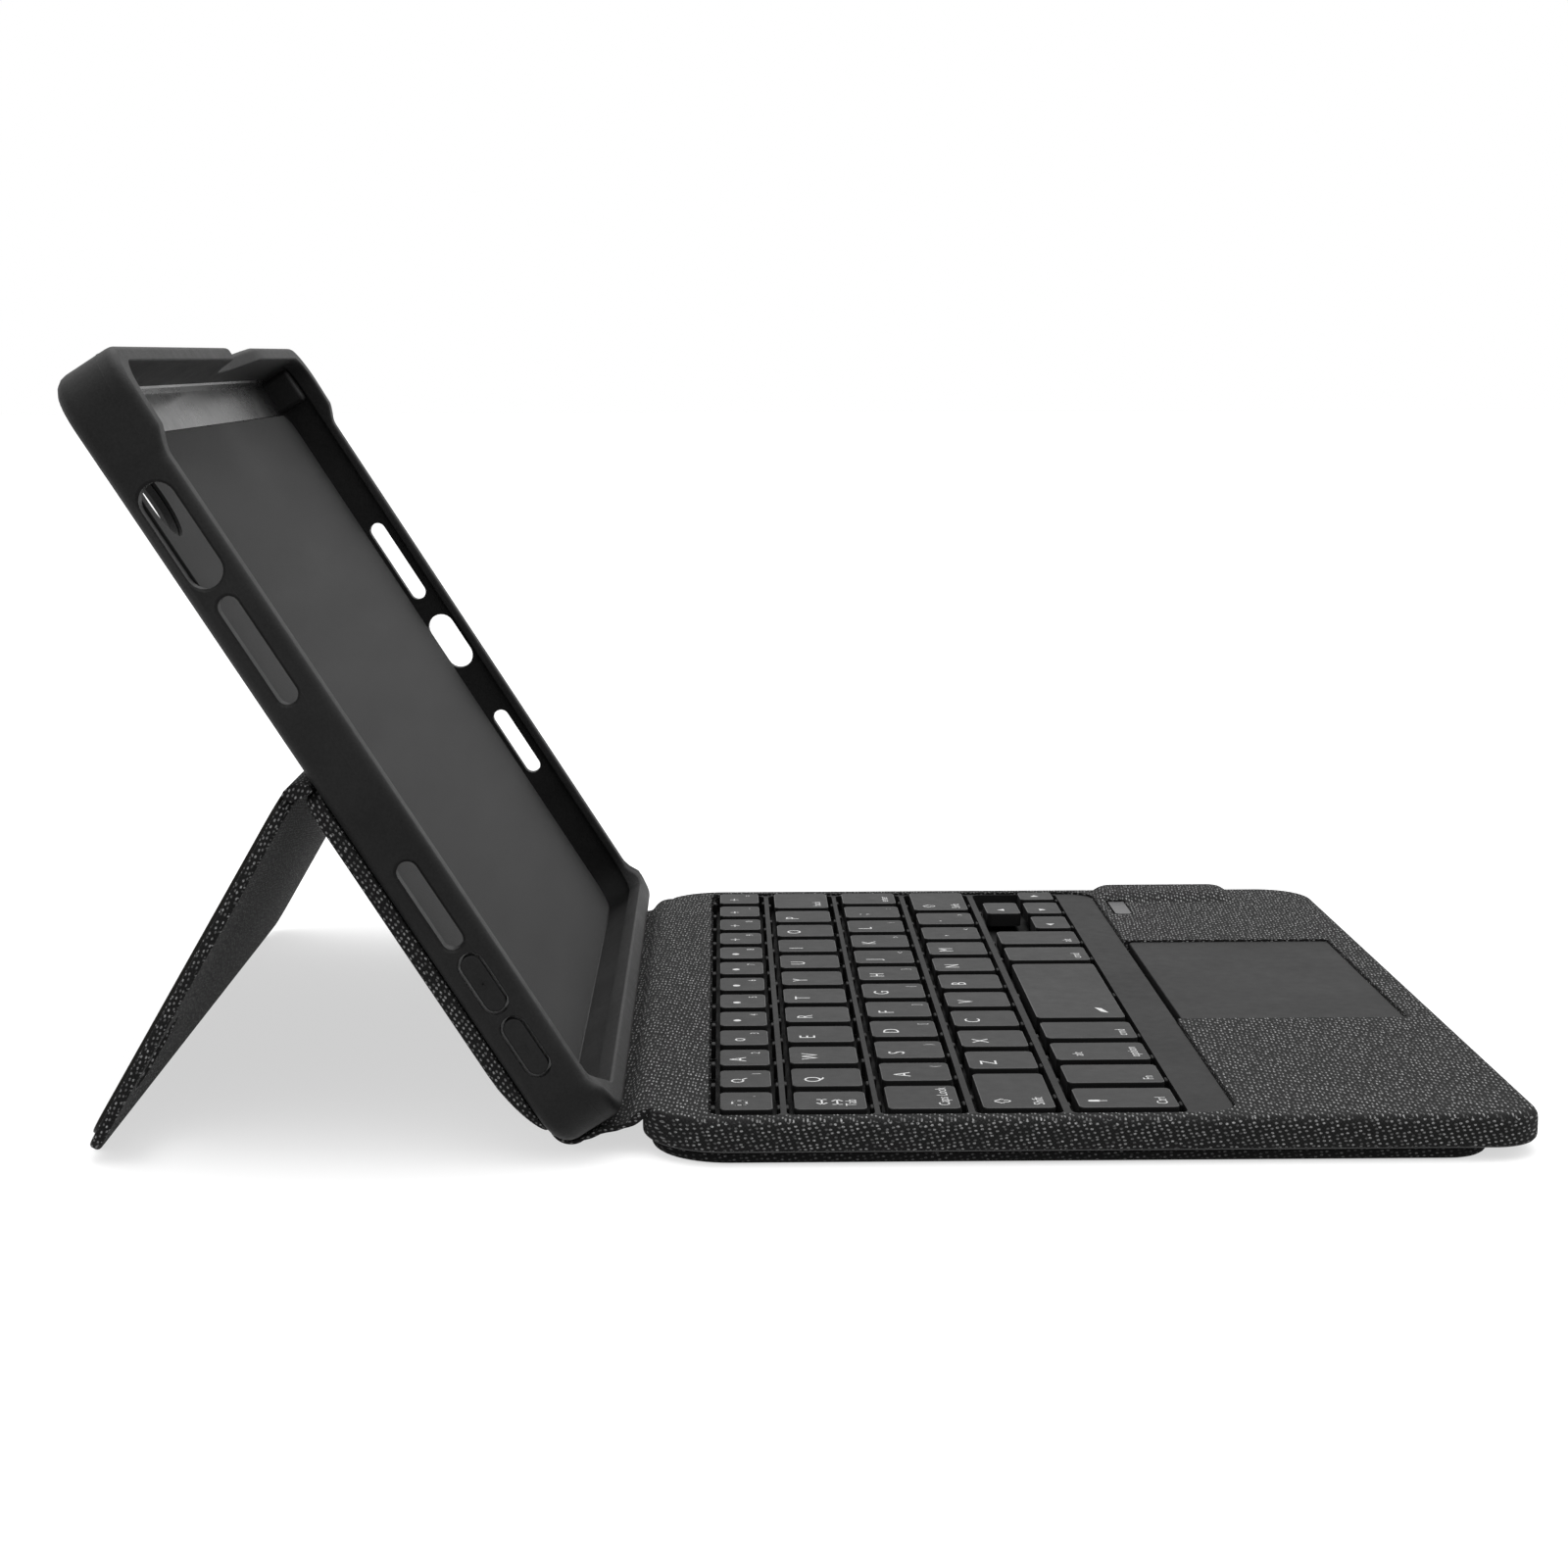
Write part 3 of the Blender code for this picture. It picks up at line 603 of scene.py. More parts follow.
def tray_details():
    """The polished channel above the tablet, its corner stops and ridge, and the lining."""
    floor = slab(
        (-BAY_HALF + 0.6, CHANNEL_START + 0.2),
        (BAY_HALF - 0.6, MOUTH_HIGH - 0.5),
        1.5,
        edge_profile(FLOOR - 0.1, FLOOR + 0.25, 0, 0.2, 2),
        across=[-60, -20, 20, 60],
    )
    ridge = sweep([(146.2, FLOOR), (147.3, FLOOR), (147.3, FLOOR + 1.5), (146.9, FLOOR + 1.3)], -92, 92)
    add("pencil_channel", joined(floor, ridge), TRAY, CHANNEL, 30, "tray", "tpu")

    for name, side in (("left", -1), ("right", 1)):
        near, far = sorted(side * x for x in STOP_SIDES)
        low, high = (near, CHANNEL_START + 0.4), (far, MOUTH_HIGH - 0.2)
        stop = slab(low, high, 1.4, edge_profile(FLOOR, CEILING - 0.6, 0, 0.8, 3))
        add(f"corner_stop_{name}", stop, TRAY, RUBBER, 32, "tray", "tpu")

    lining = slab(
        (-BAY_HALF + 0.3, BAY_LOW + 0.3),
        (BAY_HALF - 0.3, CHANNEL_START),
        6.0,
        edge_profile(FLOOR + 0.15, FLOOR + 0.7, 0, 0.3, 3),
    )
    mesh = carved(lining, [round_hole(CAMERA_HOLE, [(w, CAMERA_RADIUS + 0.6) for w in (0, 5)])])
    cloth_piece = add_mesh("bay_lining", mesh, TRAY, LINING, 32, "tray", "lining", ["tray_lining"])

    for name, ((low, high), body) in PADS.items():
        reach, middle = (high - low) / 2, (low + high) / 2
        rings = []
        for inset, x in PAD_SECTION:
            ring = rounded_rect(
                (middle - reach + inset, PAD_MIDDLE - PAD_HALF + inset),
                (middle + reach - inset, PAD_MIDDLE + PAD_HALF - inset),
                PAD_HALF - inset - 0.01,
                7,
            )
            rings.append([(x, v, w) for v, w in ring])
        works = [stack(rings)]
        centre = Vector((PAD_FACE, middle, PAD_MIDDLE))
        bars = [(SIGN_REACH["minus"], SIGN_PEN)]
        if name == "volume_up_pad":
            bars.append((SIGN_PEN, SIGN_REACH["plus"]))
        for bar in bars:
            raised, sunk = Vector((SIGN_RAISED, *bar)), Vector((SIGN_SUNK, *bar))
            works.append(block(centre - raised, centre + sunk))
        add(name.replace("_pad", "_button"), joined(*works), TRAY, RUBBER, 32, body, "tpu", [name])


# -------- back panel, stand and spine

PANEL_HALF = 98.5
PANEL_LOW, PANEL_HIGH, PANEL_THICK = 3.6, 72.7, 3.2
PANEL_CORNERS = (7.0, 7.0, 4.0, 4.0)
PANEL_BACK = 0.3  # the panel's near face, from the tray's back
PANEL_TAPER = (PANEL_LOW - 3, 17.0)  # it thickens between these places
STAND_LOW, STAND_HIGH, STAND_THICK = 1.5, 70.4, 1.9
STAND_HOLE = (CAMERA_HOLE[0], CAMERA_HOLE[1] - 73.8)  # the camera's hole, counted down the flap
FOOT = 90.0
HEM_LOW, HEM_HIGH = 1.1, 1.75
SPINE_HALF = 92.5
SPINE_FRONT_THICK, SPINE_REAR_THICK = 0.7, 0.6
SPINE_REAR_ARC = 3.5


def back_panel():
    """The cloth panel on the tray's back, thinner near the spine."""
    profile = edge_profile(PANEL_BACK, PANEL_THICK, 0.3, 1.0, 5)
    stations = [12.5, 15, 18, 22, 40, 60, 68]
    rings = []
    for inset, depth in profile:
        low, high = (-PANEL_HALF + inset, PANEL_LOW + inset), (PANEL_HALF - inset, PANEL_HIGH - inset)
        ring = []
        for x, v in rounded_rect(low, high, tightened(PANEL_CORNERS, inset), 8, along=stations):
            thin = 0.2 + 0.8 * smooth(v, *PANEL_TAPER)
            ring.append((x, v, -PANEL_BACK - (depth - PANEL_BACK) * thin))
        rings.append(ring)
    add("back_cloth_panel", stack(rings), TRAY, CLOTH, 35, "tray", "fabric", ["back_panel"])


def stand():
    """The flap with its lining, its foot that reaches the table, and the crease it folds on."""
    low, high = (-PANEL_HALF, STAND_LOW), (PANEL_HALF, STAND_HIGH)
    flap = slab(low, high, 6.0, edge_profile(0.0, STAND_THICK, 0.8, 0.5, 5), 10)
    reach = (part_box("stand_panel")[0].z - STAND_HINGE.z) / MM
    tip = (reach - HEM_LOW * math.cos(STAND_TILT)) / math.sin(STAND_TILT)
    low, high = (-FOOT, STAND_HIGH - 3), (FOOT, tip - 0.1)
    hem = slab(low, high, 3.0, edge_profile(HEM_LOW, HEM_HIGH, 0.2, 0.25, 2), 6)
    hole = round_hole(STAND_HOLE, [(z, CAMERA_RADIUS + 0.5) for z in (-1.0, STAND_THICK + 2)])
    mesh = carved(flap, [hole], rim=0.25)
    add_mesh("stand_flap", mesh, STAND, CLOTH, 35, "stand", "fabric", ["stand_panel"])
    add("stand_foot", hem, STAND, SKIN, 35, "stand", "fabric")

    lining = slab(
        (-PANEL_HALF + 2, STAND_LOW),
        (PANEL_HALF - 2, STAND_HIGH - 2),
        5.0,
        edge_profile(STAND_THICK + 0.05, 2.6, 0, 0.3, 3),
        8,
    )
    mesh = carved(lining, [round_hole(STAND_HOLE, [(z, CAMERA_RADIUS + 1.5) for z in (0, 5)])])
    # the backing takes the lining colour with painted shade and a painted warm sheen
    finish = (FLAP_LINING_SHADE_AND_SHEEN, 35, "stand", "lining", ["stand_lining"])
    backing = add_mesh("stand_backing", mesh, STAND, *finish)

    crease = [(1.6, 0.25), (1.6, 2.3), (0.6, 2.35), (-0.5, 2.05), (-1.3, 1.45), (-1.85, 0.6)]
    crease += [(-2.15, -0.4), (-2.15, -1.2), (-1.75, -1.75), (0.25, -0.75), (0.55, -0.25)]
    crease = sweep(crease, -PANEL_HALF + 0.4, PANEL_HALF - 0.4, 12)
    fold = add("stand_crease", crease, STAND, CLOTH, 50)
    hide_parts("stand_fold")
    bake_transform(fold)


def ribbon(points, thickness):
    """A strip's outline from its middle line, given as (depth, height, share of the thickness)."""
    middle = [Vector(point[:2]) for point in points]
    upper, lower = [], []
    for number, point in enumerate(middle):
        run = middle[min(number + 1, len(middle) - 1)] - middle[max(number - 1, 0)]
        rise = Vector((-run.y, run.x)).normalized() * thickness * points[number][2] / 2
        upper.append(point + rise)
        lower.append(point - rise)
    return upper + lower[::-1]


def finer(points, steps):
    """The same path with more points on a smooth curve, so that a fold in it is round."""
    path = []
    last = len(points) - 1
    for number in range(last):
        near = [min(max(number + way, 0), last) for way in (-1, 0, 1, 2)]
        before, start, end, after = (Vector(points[place]) for place in near)
        for step in range(steps):
            share = step / steps
            bend = (2 * before - 5 * start + 4 * end - after) * share**2
            twist = (3 * start - before - 3 * end + after) * share**3
            path.append(tuple((2 * start + (end - before) * share + bend + twist) / 2))
    return [*path, tuple(points[-1])]


def spine():
    """One cloth in two pieces that meet in the middle of the stiffened strip."""
    run = Vector((SPINE_RUN.y, SPINE_RUN.z)) / MM
    along = run.normalized()
    across = Vector((-along.y, along.x))
    hinge = Vector((SPINE_HINGE.y / MM - DEPTH_SHIFT, SPINE_HINGE.z / MM))
    front = [(97.5, 7.2, 0.5), (98.4, 7.2, 0.8), (99.3, 6.95, 1.3), (100.2, 6.45, 2.0)]
    front += [(101.0, 5.8, 2.2), (101.8, 5.1, 1.8), (102.5, 4.65, 1.2), (103.3, 4.4, 1.0)]
    for s, sag in ((4.4, -0.8), (5.4, -0.5), (6.3, -0.2), (7.1, 0)):
        front.append((*(hinge + along * s + across * sag), 1.4))
    front = finer(front, 4)
    strip = sweep(ribbon(front, SPINE_FRONT_THICK), -SPINE_HALF, SPINE_HALF, 16)
    piece = add("spine_cloth_front", strip, KEYBOARD, CLOTH, 50)
    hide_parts("spine_fold_keyboard", "spine_panel")
    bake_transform(piece)

    tray_along = Vector((math.cos(TRAY_TILT), math.sin(TRAY_TILT)))
    tray_across = Vector((-tray_along.y, tray_along.x))
    fold = hinge + run
    rear = [(*(hinge + along * s), 1.5 - 0.5 * smooth(s, 8, 10)) for s in (7.15, 8.2, 9.2)]
    corner = fold + tray_along * 3.35 + tray_across * 3.3
    for up, out in arc((0, 0), SPINE_REAR_ARC, 176, 270, 8):
        rear.append((*(corner + tray_along * up + tray_across * out), 0.85))
    rear.append((*(corner + tray_along * 1.4 - tray_across * SPINE_REAR_ARC), 0.8))
    rear = finer(rear, 3)
    strip = sweep(ribbon(rear, SPINE_REAR_THICK), -SPINE_HALF, SPINE_HALF, 16)
    piece = add("spine_cloth_rear", strip, KEYBOARD, CLOTH, 50)
    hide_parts("spine_fold_tray")
    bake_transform(piece)


# -------- keyboard

SEAM, TOP = 2.3, 7.6
COVER_CORNERS = (9.0, 12.0, 14.5, 14.5)
COVER_EDGE = 2.0
DECK_HALF, DECK_FRONT, DECK_REAR = 97.5, 0.1, 89.1
DECK_TOP = 7.2
DECK_CORNERS = (6.5, 6.5, 3.0, 3.0)
PAD_LOW, PAD_RIGHT = (-30.6, -43.9), 42.0  # the touchpad's opening
STATUS_OPENING = ((70.6, -6.2), (85.8, -1.8))
CHARGE_RECESS = ((93.7, -24.3, 2.7), (103, -14.7, 6.5), 1.5)  # low corner, high corner, rounding
SWITCH_RECESS = ((95.7, -9.5, 3.3), (103, -3.5, 5.7), 0.5)
OPEN_ABOVE = 12  # openings are cut up to this height
# The slope along the cover's rear edge, as (depth, height)
REAR_FOLD = ((97.2, 7.6), (98.2, 7.3), (99.0, 6.75), (99.7, 5.95), (100.2, 5.1), (101.2, 3.3))
HUMP_LOW, HUMP_HIGH, HUMP_TOP = (84.0, -32.0), (101.0, -0.4), 8.9
HUMP_FOOT = TOP - 0.15
HUMP_RAMP = 8.0


def keyboard_cover():
    """The cloth cover with the hump beside the ports, then its openings."""
    profile = [(0.5, SEAM), (0.12, SEAM + 0.25), (0.0, SEAM + 0.7)]
    profile += [(COVER_EDGE - x, y) for x, y in arc((0, TOP - COVER_EDGE), COVER_EDGE, 0, 90, 7)]
    rings = []
    for inset, level in profile:
        low = (-HALF + inset, KEYBOARD_FRONT + inset)
        high = (HALF - inset, KEYBOARD_REAR - inset * 0.5)
        ring = rounded_rect(low, high, tightened(COVER_CORNERS, inset), 16)
        rings.append([(x, y, level) for x, y in ring])
    wedge = [*REAR_FOLD, (REAR_FOLD[-1][0], TOP + 3), (REAR_FOLD[0][0], TOP + 3)]
    hump = []
    for share in (0, 0.001, 0.15, 0.3, 0.5, 0.7, 0.85, 1.0):
        turn = math.radians(90 * share)
        level = 6.0 if share == 0 else HUMP_FOOT + (HUMP_TOP - HUMP_FOOT) * math.sin(turn)
        low = (HUMP_LOW[0] + HUMP_RAMP * share, HUMP_LOW[1] + 3.0 * share)
        high = (HUMP_HIGH[0] - 1.5 * (1 - math.cos(turn)), HUMP_HIGH[1] - 3.0 * share)
        hump.append([(x, y, level) for x, y in rounded_rect(low, high, 2.0, 4)])
    body = bmesh_from(carved(stack(rings), [stack(hump)], "UNION"))
    openings = [
        opening((-DECK_HALF, DECK_FRONT), (DECK_HALF, DECK_REAR), DECK_CORNERS, 3.7, 8),
        opening(PAD_LOW, (PAD_RIGHT, DECK_FRONT + 4), 1.5, 4.4, 5),
        sweep(wedge, -HALF - 3, HALF + 3),
        opening(*STATUS_OPENING, 0.8, 6.6, 4),
        side_recess_cutter(*CHARGE_RECESS),
        side_recess_cutter(*SWITCH_RECESS),
    ]
    mesh = carved(body, openings, rim=0.3, rim_steps=3)
    add_mesh("keyboard_cover", mesh, KEYBOARD, CLOTH, 35, "keyboard", "fabric", ["top_cover"])


def opening(low, high, corner, floor, steps):
    return slab(low, high, corner, [(0, floor), (0, OPEN_ABOVE)], steps)


def side_recess_cutter(low, high, corner):
    ring = rounded_rect(low[1:], high[1:], corner, 5)
    return stack([[(x, y, z) for y, z in ring] for x in (low[0], high[0])])


def keyboard_base():
    low, high = (-HALF + 1.0, KEYBOARD_FRONT + 8.5), (HALF - 1.0, KEYBOARD_REAR - 1.5)
    profile = edge_profile(0.0, SEAM - 0.25, 1.1, 0.35, 4)
    base = slab(low, high, tightened(COVER_CORNERS, 1), profile, 14)
    add("keyboard_base", base, KEYBOARD, BASE_CLOTH, 35, "keyboard", "base_cloth", ["bottom_cover"])
    welt = slab(
        (-HALF + 0.35, KEYBOARD_FRONT + 0.35),
        (HALF - 0.35, KEYBOARD_REAR - 0.35),
        tightened(COVER_CORNERS, 0.35),
        [(1.0, SEAM - 0.2), (0.1, SEAM - 0.15), (0.0, SEAM), (0.3, SEAM + 0.2)],
        14,
    )
    add("seam_edge", welt, KEYBOARD, WELT, 35, "keyboard", "base_cloth")


# Rows as (front, rear, [(node, share of the row, big legend, small legend), ...])
KEY_FIELD = 97.2
KEY_GAP = 3.9
CAP_INSET = 0.3  # each cap stops this far short of its row, front and rear
CAP_ROUNDING = 0.26
KEY_BOTTOM, KEY_TOP = 5.0, 8.0
SLOT_MARGIN = 1.0
NUB_HALF, NUB_LOW, NUB_HIGH = 1.1, 4.2, 6.9
LEGEND_LIFT = 0.012  # above the cap, so that the two faces don't meet
LETTER_SIZE, WORD_SIZE = 4.3, 2.7
SMALL_LETTER_SIZE, SMALL_WORD_SIZE = 2.3, 2.7
STROKE_TRIM = 0.004  # slims the lettering by this share of its size
TOP_LEGENDS = ("home", "search", "A", "o", *["sun"] * 5, *["dot"] * 4)
TOP_SMALL = "`1234567890-="


def letter_keys(letters, small=""):
    small = small or " " * len(letters)
    marks = zip(letters, small)
    return [(f"key_{letter}", 16.0, letter.upper(), mark.strip()) for letter, mark in marks]


ROWS = (
    (77.9, 87.4, [("top_row_keys", 16.0, big, mark) for big, mark in zip(TOP_LEGENDS, TOP_SMALL)]),
    (
        62.1,
        74.9,
        [("key_tab", 15.2, "tab", "Tab")]
        + letter_keys("qwertyuiop")
        + [("key_backspace", 20.8, "", "back")],
    ),
    (
        46.4,
        59.2,
        [("key_caps", 18.5, "", "Caps Lock")]
        + letter_keys("asdfghjkl", "()[]{}<>/")
        + [("key_semicolon", 16.0, ";", ":"), ("key_enter", 16.0, "", "enter")],
    ),
    (
        30.5,
        43.3,
        [("key_shift_left", 26.5, "hollow_arrow", "Shift")]
        + letter_keys("zxcvbnm")
        + [("comma_period_keys", 16.0, ",", "<"), ("comma_period_keys", 16.0, ".", ">")]
        + [("key_shift_right", 24.0, "hollow_arrow", "Shift")],
    ),
    (
        9.7,
        27.2,
        [("left_modifier_keys", 16.2, "mic", "Ctrl"), ("left_modifier_keys", 16.2, "", "Fn")]
        + [("left_modifier_keys", 16.2, "alt", "option"), ("left_modifier_keys", 16.2, "", "cmd")]
        + [("key_space", 51.6, "", "mark")]
        + [("right_modifier_keys", 16.6, "", "cmd"), ("right_modifier_keys", 16.6, "", "alt")]
        + [("arrow", 16.6, "left", ""), ("arrow_pair", 16.2, "down", "")]
        + [("arrow", 12.4, "right", "")],
    ),
)
ARROW_SPLIT = (18.0, 19.0)  # rear of the lower arrow keys, front of the upper one


def text_shape(words, size):
    """Flat lettering as a bmesh, its lower left corner at the origin."""
    curve = bpy.data.curves.new("lettering", "FONT")
    curve.body = words
    curve.size = size
    curve.resolution_u = 3
    curve.offset = -STROKE_TRIM * size
    carrier = new_object("lettering", curve)
    evaluated = carrier.evaluated_get(bpy.context.evaluated_depsgraph_get())
    mesh = bpy.data.meshes.new_from_object(evaluated)
    bpy.data.objects.remove(carrier)
    bpy.data.curves.remove(curve)
    work = bmesh_from(mesh)
    bmesh.ops.remove_doubles(work, verts=work.verts, dist=1e-4)
    return work


def flat_shape(*outlines):
    """Faces from closed outlines of points."""
    work = bmesh.new()
    for outline in outlines:
        work.faces.new([work.verts.new((x, y, 0)) for x, y in outline])
    return work


def line_shape(points, width, closed=False):
    """A flat stroke along points."""
    points = [Vector(point) for point in points]
    pairs = list(zip(points, points[1:] + points[:1]))
    if not closed:
        pairs = pairs[:-1]
    outlines = []
    for first, last in pairs:
        run = (last - first).normalized()
        side = Vector((-run.y, run.x)) * width / 2
        ends = run * width / 2
        near, far = first - ends, last + ends
        outlines.append([near + side, near - side, far - side, far + side])
    return flat_shape(*outlines)


def ring_shape(centre, radius, width):
    outer = arc(centre, radius + width / 2, 0, 360, 20)
    inner = arc(centre, radius - width / 2, 0, 360, 20)
    return flat_shape(*zip(outer[:-1], outer[1:], inner[1:], inner[:-1]))


def icon(name):
    """A small generic sign about 3 mm across, from its lower left corner."""
    pen = 0.32
    if name == "home":
        return [line_shape(rounded_rect((0.2, 0.2), (3.0, 2.6), 0.7, 3), pen, True)]
    if name == "search":
        return [ring_shape((1.3, 1.6), 1.0, pen), line_shape([(2.1, 0.9), (3.0, 0.1)], pen)]
    if name == "sun":
        return [flat_shape(arc((1.4, 1.4), 0.75, 0, 360, 12)[:-1])]
    if name == "dot":
        return [line_shape([(0.6, 1.4), (2.2, 1.4)], pen), line_shape([(1.4, 0.6), (1.4, 2.2)], pen)]
    if name == "tab":
        arrows = []
        for level, tip, end in ((0.4, 0.2, 3.4), (-2.2, 3.4, 0.2)):
            back = tip + math.copysign(1.0, end - tip)
            arrows.append(line_shape([(tip, level), (end, level)], pen))
            arrows.append(line_shape([(back, level + 0.8), (tip, level), (back, level - 0.8)], pen))
            arrows.append(line_shape([(end, level - 0.7), (end, level + 0.7)], pen))
        return arrows
    if name == "hollow_arrow":
        outline = [(1.0, 0.3), (2.2, 0.3), (2.2, 1.5), (3.0, 1.5), (1.6, 3.0), (0.2, 1.5), (1.0, 1.5)]
        return [line_shape(outline, pen, True)]
    if name == "mic":
        head = flat_shape(rounded_rect((0.9, 1.0), (2.0, 3.2), 0.5, 4))
        return [head, line_shape([(1.45, 0.1), (1.45, 1.2)], pen)]
    heads = {"left": (-1, 0), "right": (1, 0), "up": (0, 1), "down": (0, -1)}
    if name in heads:
        run = Vector(heads[name])
        side = Vector((-run.y, run.x))
        middle = Vector((1.2, 1.2))
        return [flat_shape([middle + run, middle - run * 0.6 + side, middle - run * 0.6 - side])]
    return [text_shape(name, LETTER_SIZE if len(name) == 1 else WORD_SIZE)]


def placed(work, x, y, z):
    """A legend moved to its place, facing up, in the ink."""
    bmesh.ops.translate(work, vec=(x, y, z), verts=work.verts)
    for face in work.faces:
        face.material_index = 1
        if face.normal.z < 0:
            face.normal_flip()
    return work


def key_cap(corners, big, small):
    """A satin cap with round corners, a soft upper edge and its legends just above it."""
    left, front, right, rear = corners
    front, rear = front + CAP_INSET, rear - CAP_INSET
    profile = [(0.0, KEY_BOTTOM), (0.0, KEY_TOP - 0.5)]
    rounding = arc((0, KEY_TOP - CAP_ROUNDING), CAP_ROUNDING, 20, 90, 3)
    profile += [(CAP_ROUNDING - x, y) for x, y in rounding]
    cap = slab((left, front), (right, rear), 1.1, profile, 5)
    bmesh.ops.recalc_face_normals(cap, faces=cap.faces)
    for face in cap.faces:
        height = face.calc_center_median().z
        # faces below the rounding take the darker copy of the key plastic: painted shade on the cap's
        # sides
        if height < KEY_TOP - CAP_ROUNDING:
            face.material_index = 2
        # faces on the rounding take the paler copy of the key plastic: a painted highlight along the
        # cap's rim
        elif height < KEY_TOP - 0.02:
            face.material_index = 3
    parts = [cap]
    level = KEY_TOP + LEGEND_LIFT
    if big:
        size = 3.2 if rear - front > 11 else 2.8
        for shape in icon(big):
            shape.normal_update()
            parts.append(placed(shape, left + 2.4, rear - 1.9 - size, level))
    if small == "mark":
        emblem = flat_shape([(0, 0), (3.6, 0.9), (4.4, 2.2), (0.9, 1.3)])
        parts.append(placed(emblem, left + 3.4, front + 2.8, level))
    elif small:
        lettering = text_shape(small, SMALL_WORD_SIZE if len(small) > 1 else SMALL_LETTER_SIZE)
        lettering.normal_update()
        x = left + 1.6 if len(small) > 1 else right - 3.2
        parts.append(placed(lettering, x, front + 1.7, level))
    return parts


def key_cells():
    for front, rear, keys in ROWS:
        share = 2 * KEY_FIELD / sum(key[1] for key in keys)
        left = -KEY_FIELD
        for node, width, big, small in keys:
            right = left + width * share
            sides = (left + KEY_GAP / 2, right - KEY_GAP / 2)
            left = right
            if node in ("arrow", "arrow_pair"):
                yield "right_modifier_keys", (sides[0], front, sides[1], ARROW_SPLIT[0]), big, small
                if node == "arrow_pair":
                    yield "right_modifier_keys", (sides[0], ARROW_SPLIT[1], sides[1], rear), "up", ""
            else:
                yield node, (sides[0], front, sides[1], rear), big, small


def keys():
    """One piece for each packed key, with all of its caps and legends."""
    caps = {}
    for node, corners, big, small in key_cells():
        caps.setdefault(node, []).extend(key_cap(corners, big, small))
    bodies = frame["bodies"]
    for node, parts in caps.items():
        body = node if node in bodies else "keyboard"
        materials = [KEY, LEGEND, KEY_SIDE_SHADE, KEY_RIM_HIGHLIGHT]
        name = f"cap_{node.replace('key_', '')}"
        obj = add_mesh(name, mesh_from(joined(*parts)), KEYBOARD, materials, 32, body)
        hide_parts(node)


def key_deck():
    """The plate with a slot for each row, the nubs between the keys and the floor below."""
    low, high = (-DECK_HALF + 0.55, DECK_FRONT + 0.3), (DECK_HALF - 0.55, DECK_REAR - 0.9)
    plate = slab(low, high, tightened(DECK_CORNERS, 0.5), edge_profile(3.8, DECK_TOP, 0, 0.35, 3), 8)
    side = KEY_FIELD - KEY_GAP / 2 + SLOT_MARGIN
    slots = []
    for front, rear, _ in ROWS:
        margin_low, margin_high = (-side, front - SLOT_MARGIN), (side, rear + SLOT_MARGIN)
        slots.append(slab(margin_low, margin_high, 1.6, [(0, 3.0), (0, 10)], 4))
    mesh = carved(plate, slots, rim=0.18)
    add_mesh("key_deck_frame", mesh, KEYBOARD, DECK, 35, "keyboard", "deck_plastic", ["key_deck"])

    nubs = []
    profile = edge_profile(NUB_LOW, NUB_HIGH, 0, 0.15, 1)
    for _, (left, front, right, rear), _, _ in key_cells():
        middle = (left + right) / 2
        for side, way in ((front, -1), (rear, 1)):
            if side in ARROW_SPLIT:
                continue
            edge = side + way * SLOT_MARGIN
            near, far = sorted((edge + way * 0.3, edge - way * 0.55))
            nub = slab((middle - NUB_HALF, near), (middle + NUB_HALF, far), 0.28, profile, 2)
            nubs.append(nub)
    add("deck_nubs", joined(*nubs), KEYBOARD, DECK, 35, "keyboard", "deck_plastic")

    low, high = (-DECK_HALF + 0.4, DECK_FRONT + 0.4), (DECK_HALF - 0.4, DECK_REAR - 0.4)
    floor = slab(low, high, 1.0, [(0, 3.5), (0, 3.75)])
    add("key_well_floor", floor, KEYBOARD, SKIN, 35, "keyboard", "film", ["membrane"])


def touchpad():
    to_local = KEYBOARD.inverted()
    low, high = ((to_local @ corner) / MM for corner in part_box("touchpad"))
    plate = slab((low.x, low.y), (high.x, high.y), 1.2, edge_profile(low.z, high.z, 0, 0.25, 3), 5)
    add("touch_surface", plate, KEYBOARD, PAD, 35, "touchpad", "touchpad_plastic", ["touchpad"])


EDGE_SOFTENING = 0.1


def small_parts():
    """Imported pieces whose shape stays: each gets its finish and softer edges."""
    finishes = {
        "power_switch": DECK,
        "status_window": WINDOW,
        "charge_port": SHEET_METAL,
        "base_plate": SHEET_METAL,
        "battery": FOIL,
        "circuit_board": BOARD,
    }
    for name, material in finishes.items():
        node = frame["nodes"][name]
        for holder in node.material_slots:
            holder.material = material
        bevel = node.modifiers.new("edges", "BEVEL")
        bevel.width = EDGE_SOFTENING * MM
        bevel.segments = 2
        bevel.limit_method = "ANGLE"


# -------- studio

FLOOR_SIZE = 6.0  # metres
FLOOR_DROP = 0.0002  # metres below the case
FLOOR_GLOW = 0.61
FLOOR_TONES = (0.29, 0.31)
ZENITH = 2.6  # how much brighter the soft light overhead is than at the horizon
HORIZON_END = 0.25  # the sky is even up to here
LAMP = ((0.25, -0.1, 1.1), (1.2, 1.2), 9)  # place and size in metres, power in watts
VIEW_ANGLES = (-0.80, -8.38, -0.18)  # yaw, pitch and roll in degrees
VIEWPOINT = (-0.554, (86.2 + DEPTH_SHIFT) * MM, 0.1326)  # metres
SENSOR, LENS = 36, 64.9
LENS_SHIFT = (0.01375, -0.008125)


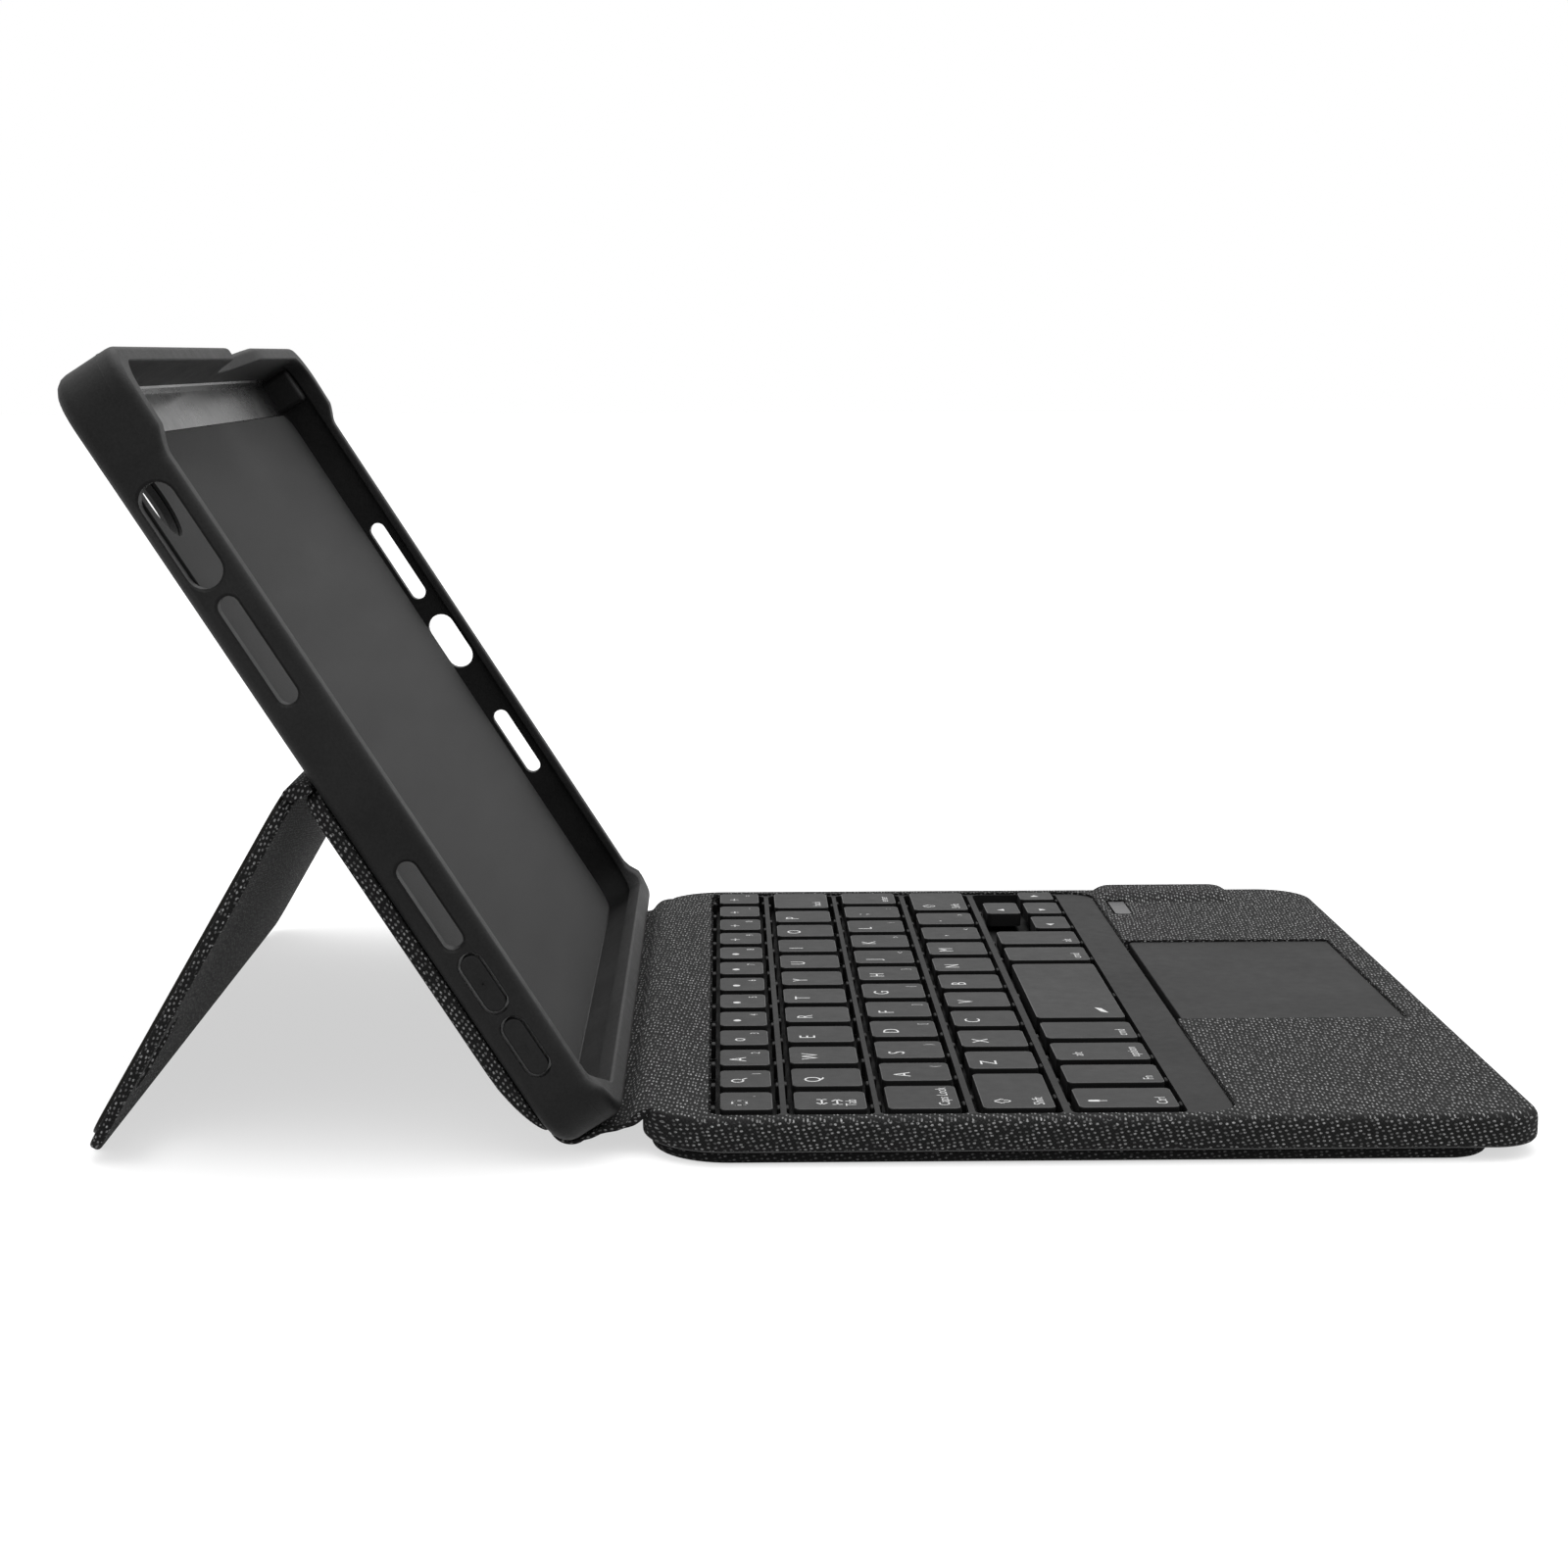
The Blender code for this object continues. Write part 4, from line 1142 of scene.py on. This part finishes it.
def studio():
    """A pale glowing floor, a white sky brighter overhead and one wide lamp."""
    work = bmesh.new()
    bmesh.ops.create_grid(work, x_segments=1, y_segments=1, size=FLOOR_SIZE)
    ground = new_object("floor", mesh_from(work, "floor"))
    ground.location.z = -FLOOR_DROP
    paint = Shader("pale_floor", (0.3,) * 3, 0.8, Specular_IOR_Level=0.0)
    paint.principled.inputs["Emission Color"].default_value = (1, 1, 1, 1)
    paint.principled.inputs["Emission Strength"].default_value = FLOOR_GLOW
    mottle = paint.noise(paint.coordinates(), 3.0, 3)
    paint.connect("Roughness", paint.span(mottle, 0.3, 0.7, 0.75, 0.85))
    paint.connect("Base Color", paint.mix(mottle, *(grey(tone) for tone in FLOOR_TONES)))
    ground.data.materials.append(paint.material)

    world = bpy.data.worlds.new("studio")
    world.use_nodes = True
    tree = world.node_tree
    background = tree.nodes["Background"]
    background.inputs["Color"].default_value = (1, 1, 1, 1)
    direction = tree.nodes.new("ShaderNodeTexCoord").outputs["Generated"]
    upward = tree.nodes.new("ShaderNodeSeparateXYZ")
    tree.links.new(direction, upward.inputs[0])
    strength = tree.nodes.new("ShaderNodeMapRange")
    settings = {"From Min": HORIZON_END, "From Max": 1.0, "To Min": 1.0, "To Max": ZENITH}
    for socket, value in settings.items():
        strength.inputs[socket].default_value = value
    tree.links.new(upward.outputs["Z"], strength.inputs["Value"])
    tree.links.new(strength.outputs["Result"], background.inputs["Strength"])
    bpy.context.scene.world = world

    place, size, power = LAMP
    data = bpy.data.lights.new("overhead", "AREA")
    data.shape = "RECTANGLE"
    data.size, data.size_y = size
    data.energy = power
    light = new_object("overhead", data)
    light.location = place
    light.rotation_euler = (-Vector(place)).to_track_quat("-Z", "Y").to_euler()


def camera():
    yaw, pitch, roll = (math.radians(angle) for angle in VIEW_ANGLES)
    level = math.cos(pitch)
    ahead = Vector((math.cos(yaw) * level, math.sin(yaw) * level, math.sin(pitch)))
    right = Vector((math.sin(yaw), -math.cos(yaw), 0))
    above = right.cross(ahead)
    turned_right = right * math.cos(roll) + above * math.sin(roll)
    turned_above = above * math.cos(roll) - right * math.sin(roll)
    data = bpy.data.cameras.new("camera")
    data.sensor_width = SENSOR
    data.lens = LENS
    data.shift_x, data.shift_y = LENS_SHIFT
    data.clip_start = 0.01
    view = new_object("camera", data)
    axes = Matrix((turned_right, turned_above, -ahead)).transposed().to_4x4()
    view.matrix_world = Matrix.Translation(VIEWPOINT) @ axes
    bpy.context.scene.camera = view


tray_moulding()
tray_details()
back_panel()
stand()
keyboard_cover()
keyboard_base()
key_deck()
keys()
touchpad()
small_parts()
spine()
studio()
camera()
bpy.context.scene.view_settings.view_transform = "Standard"
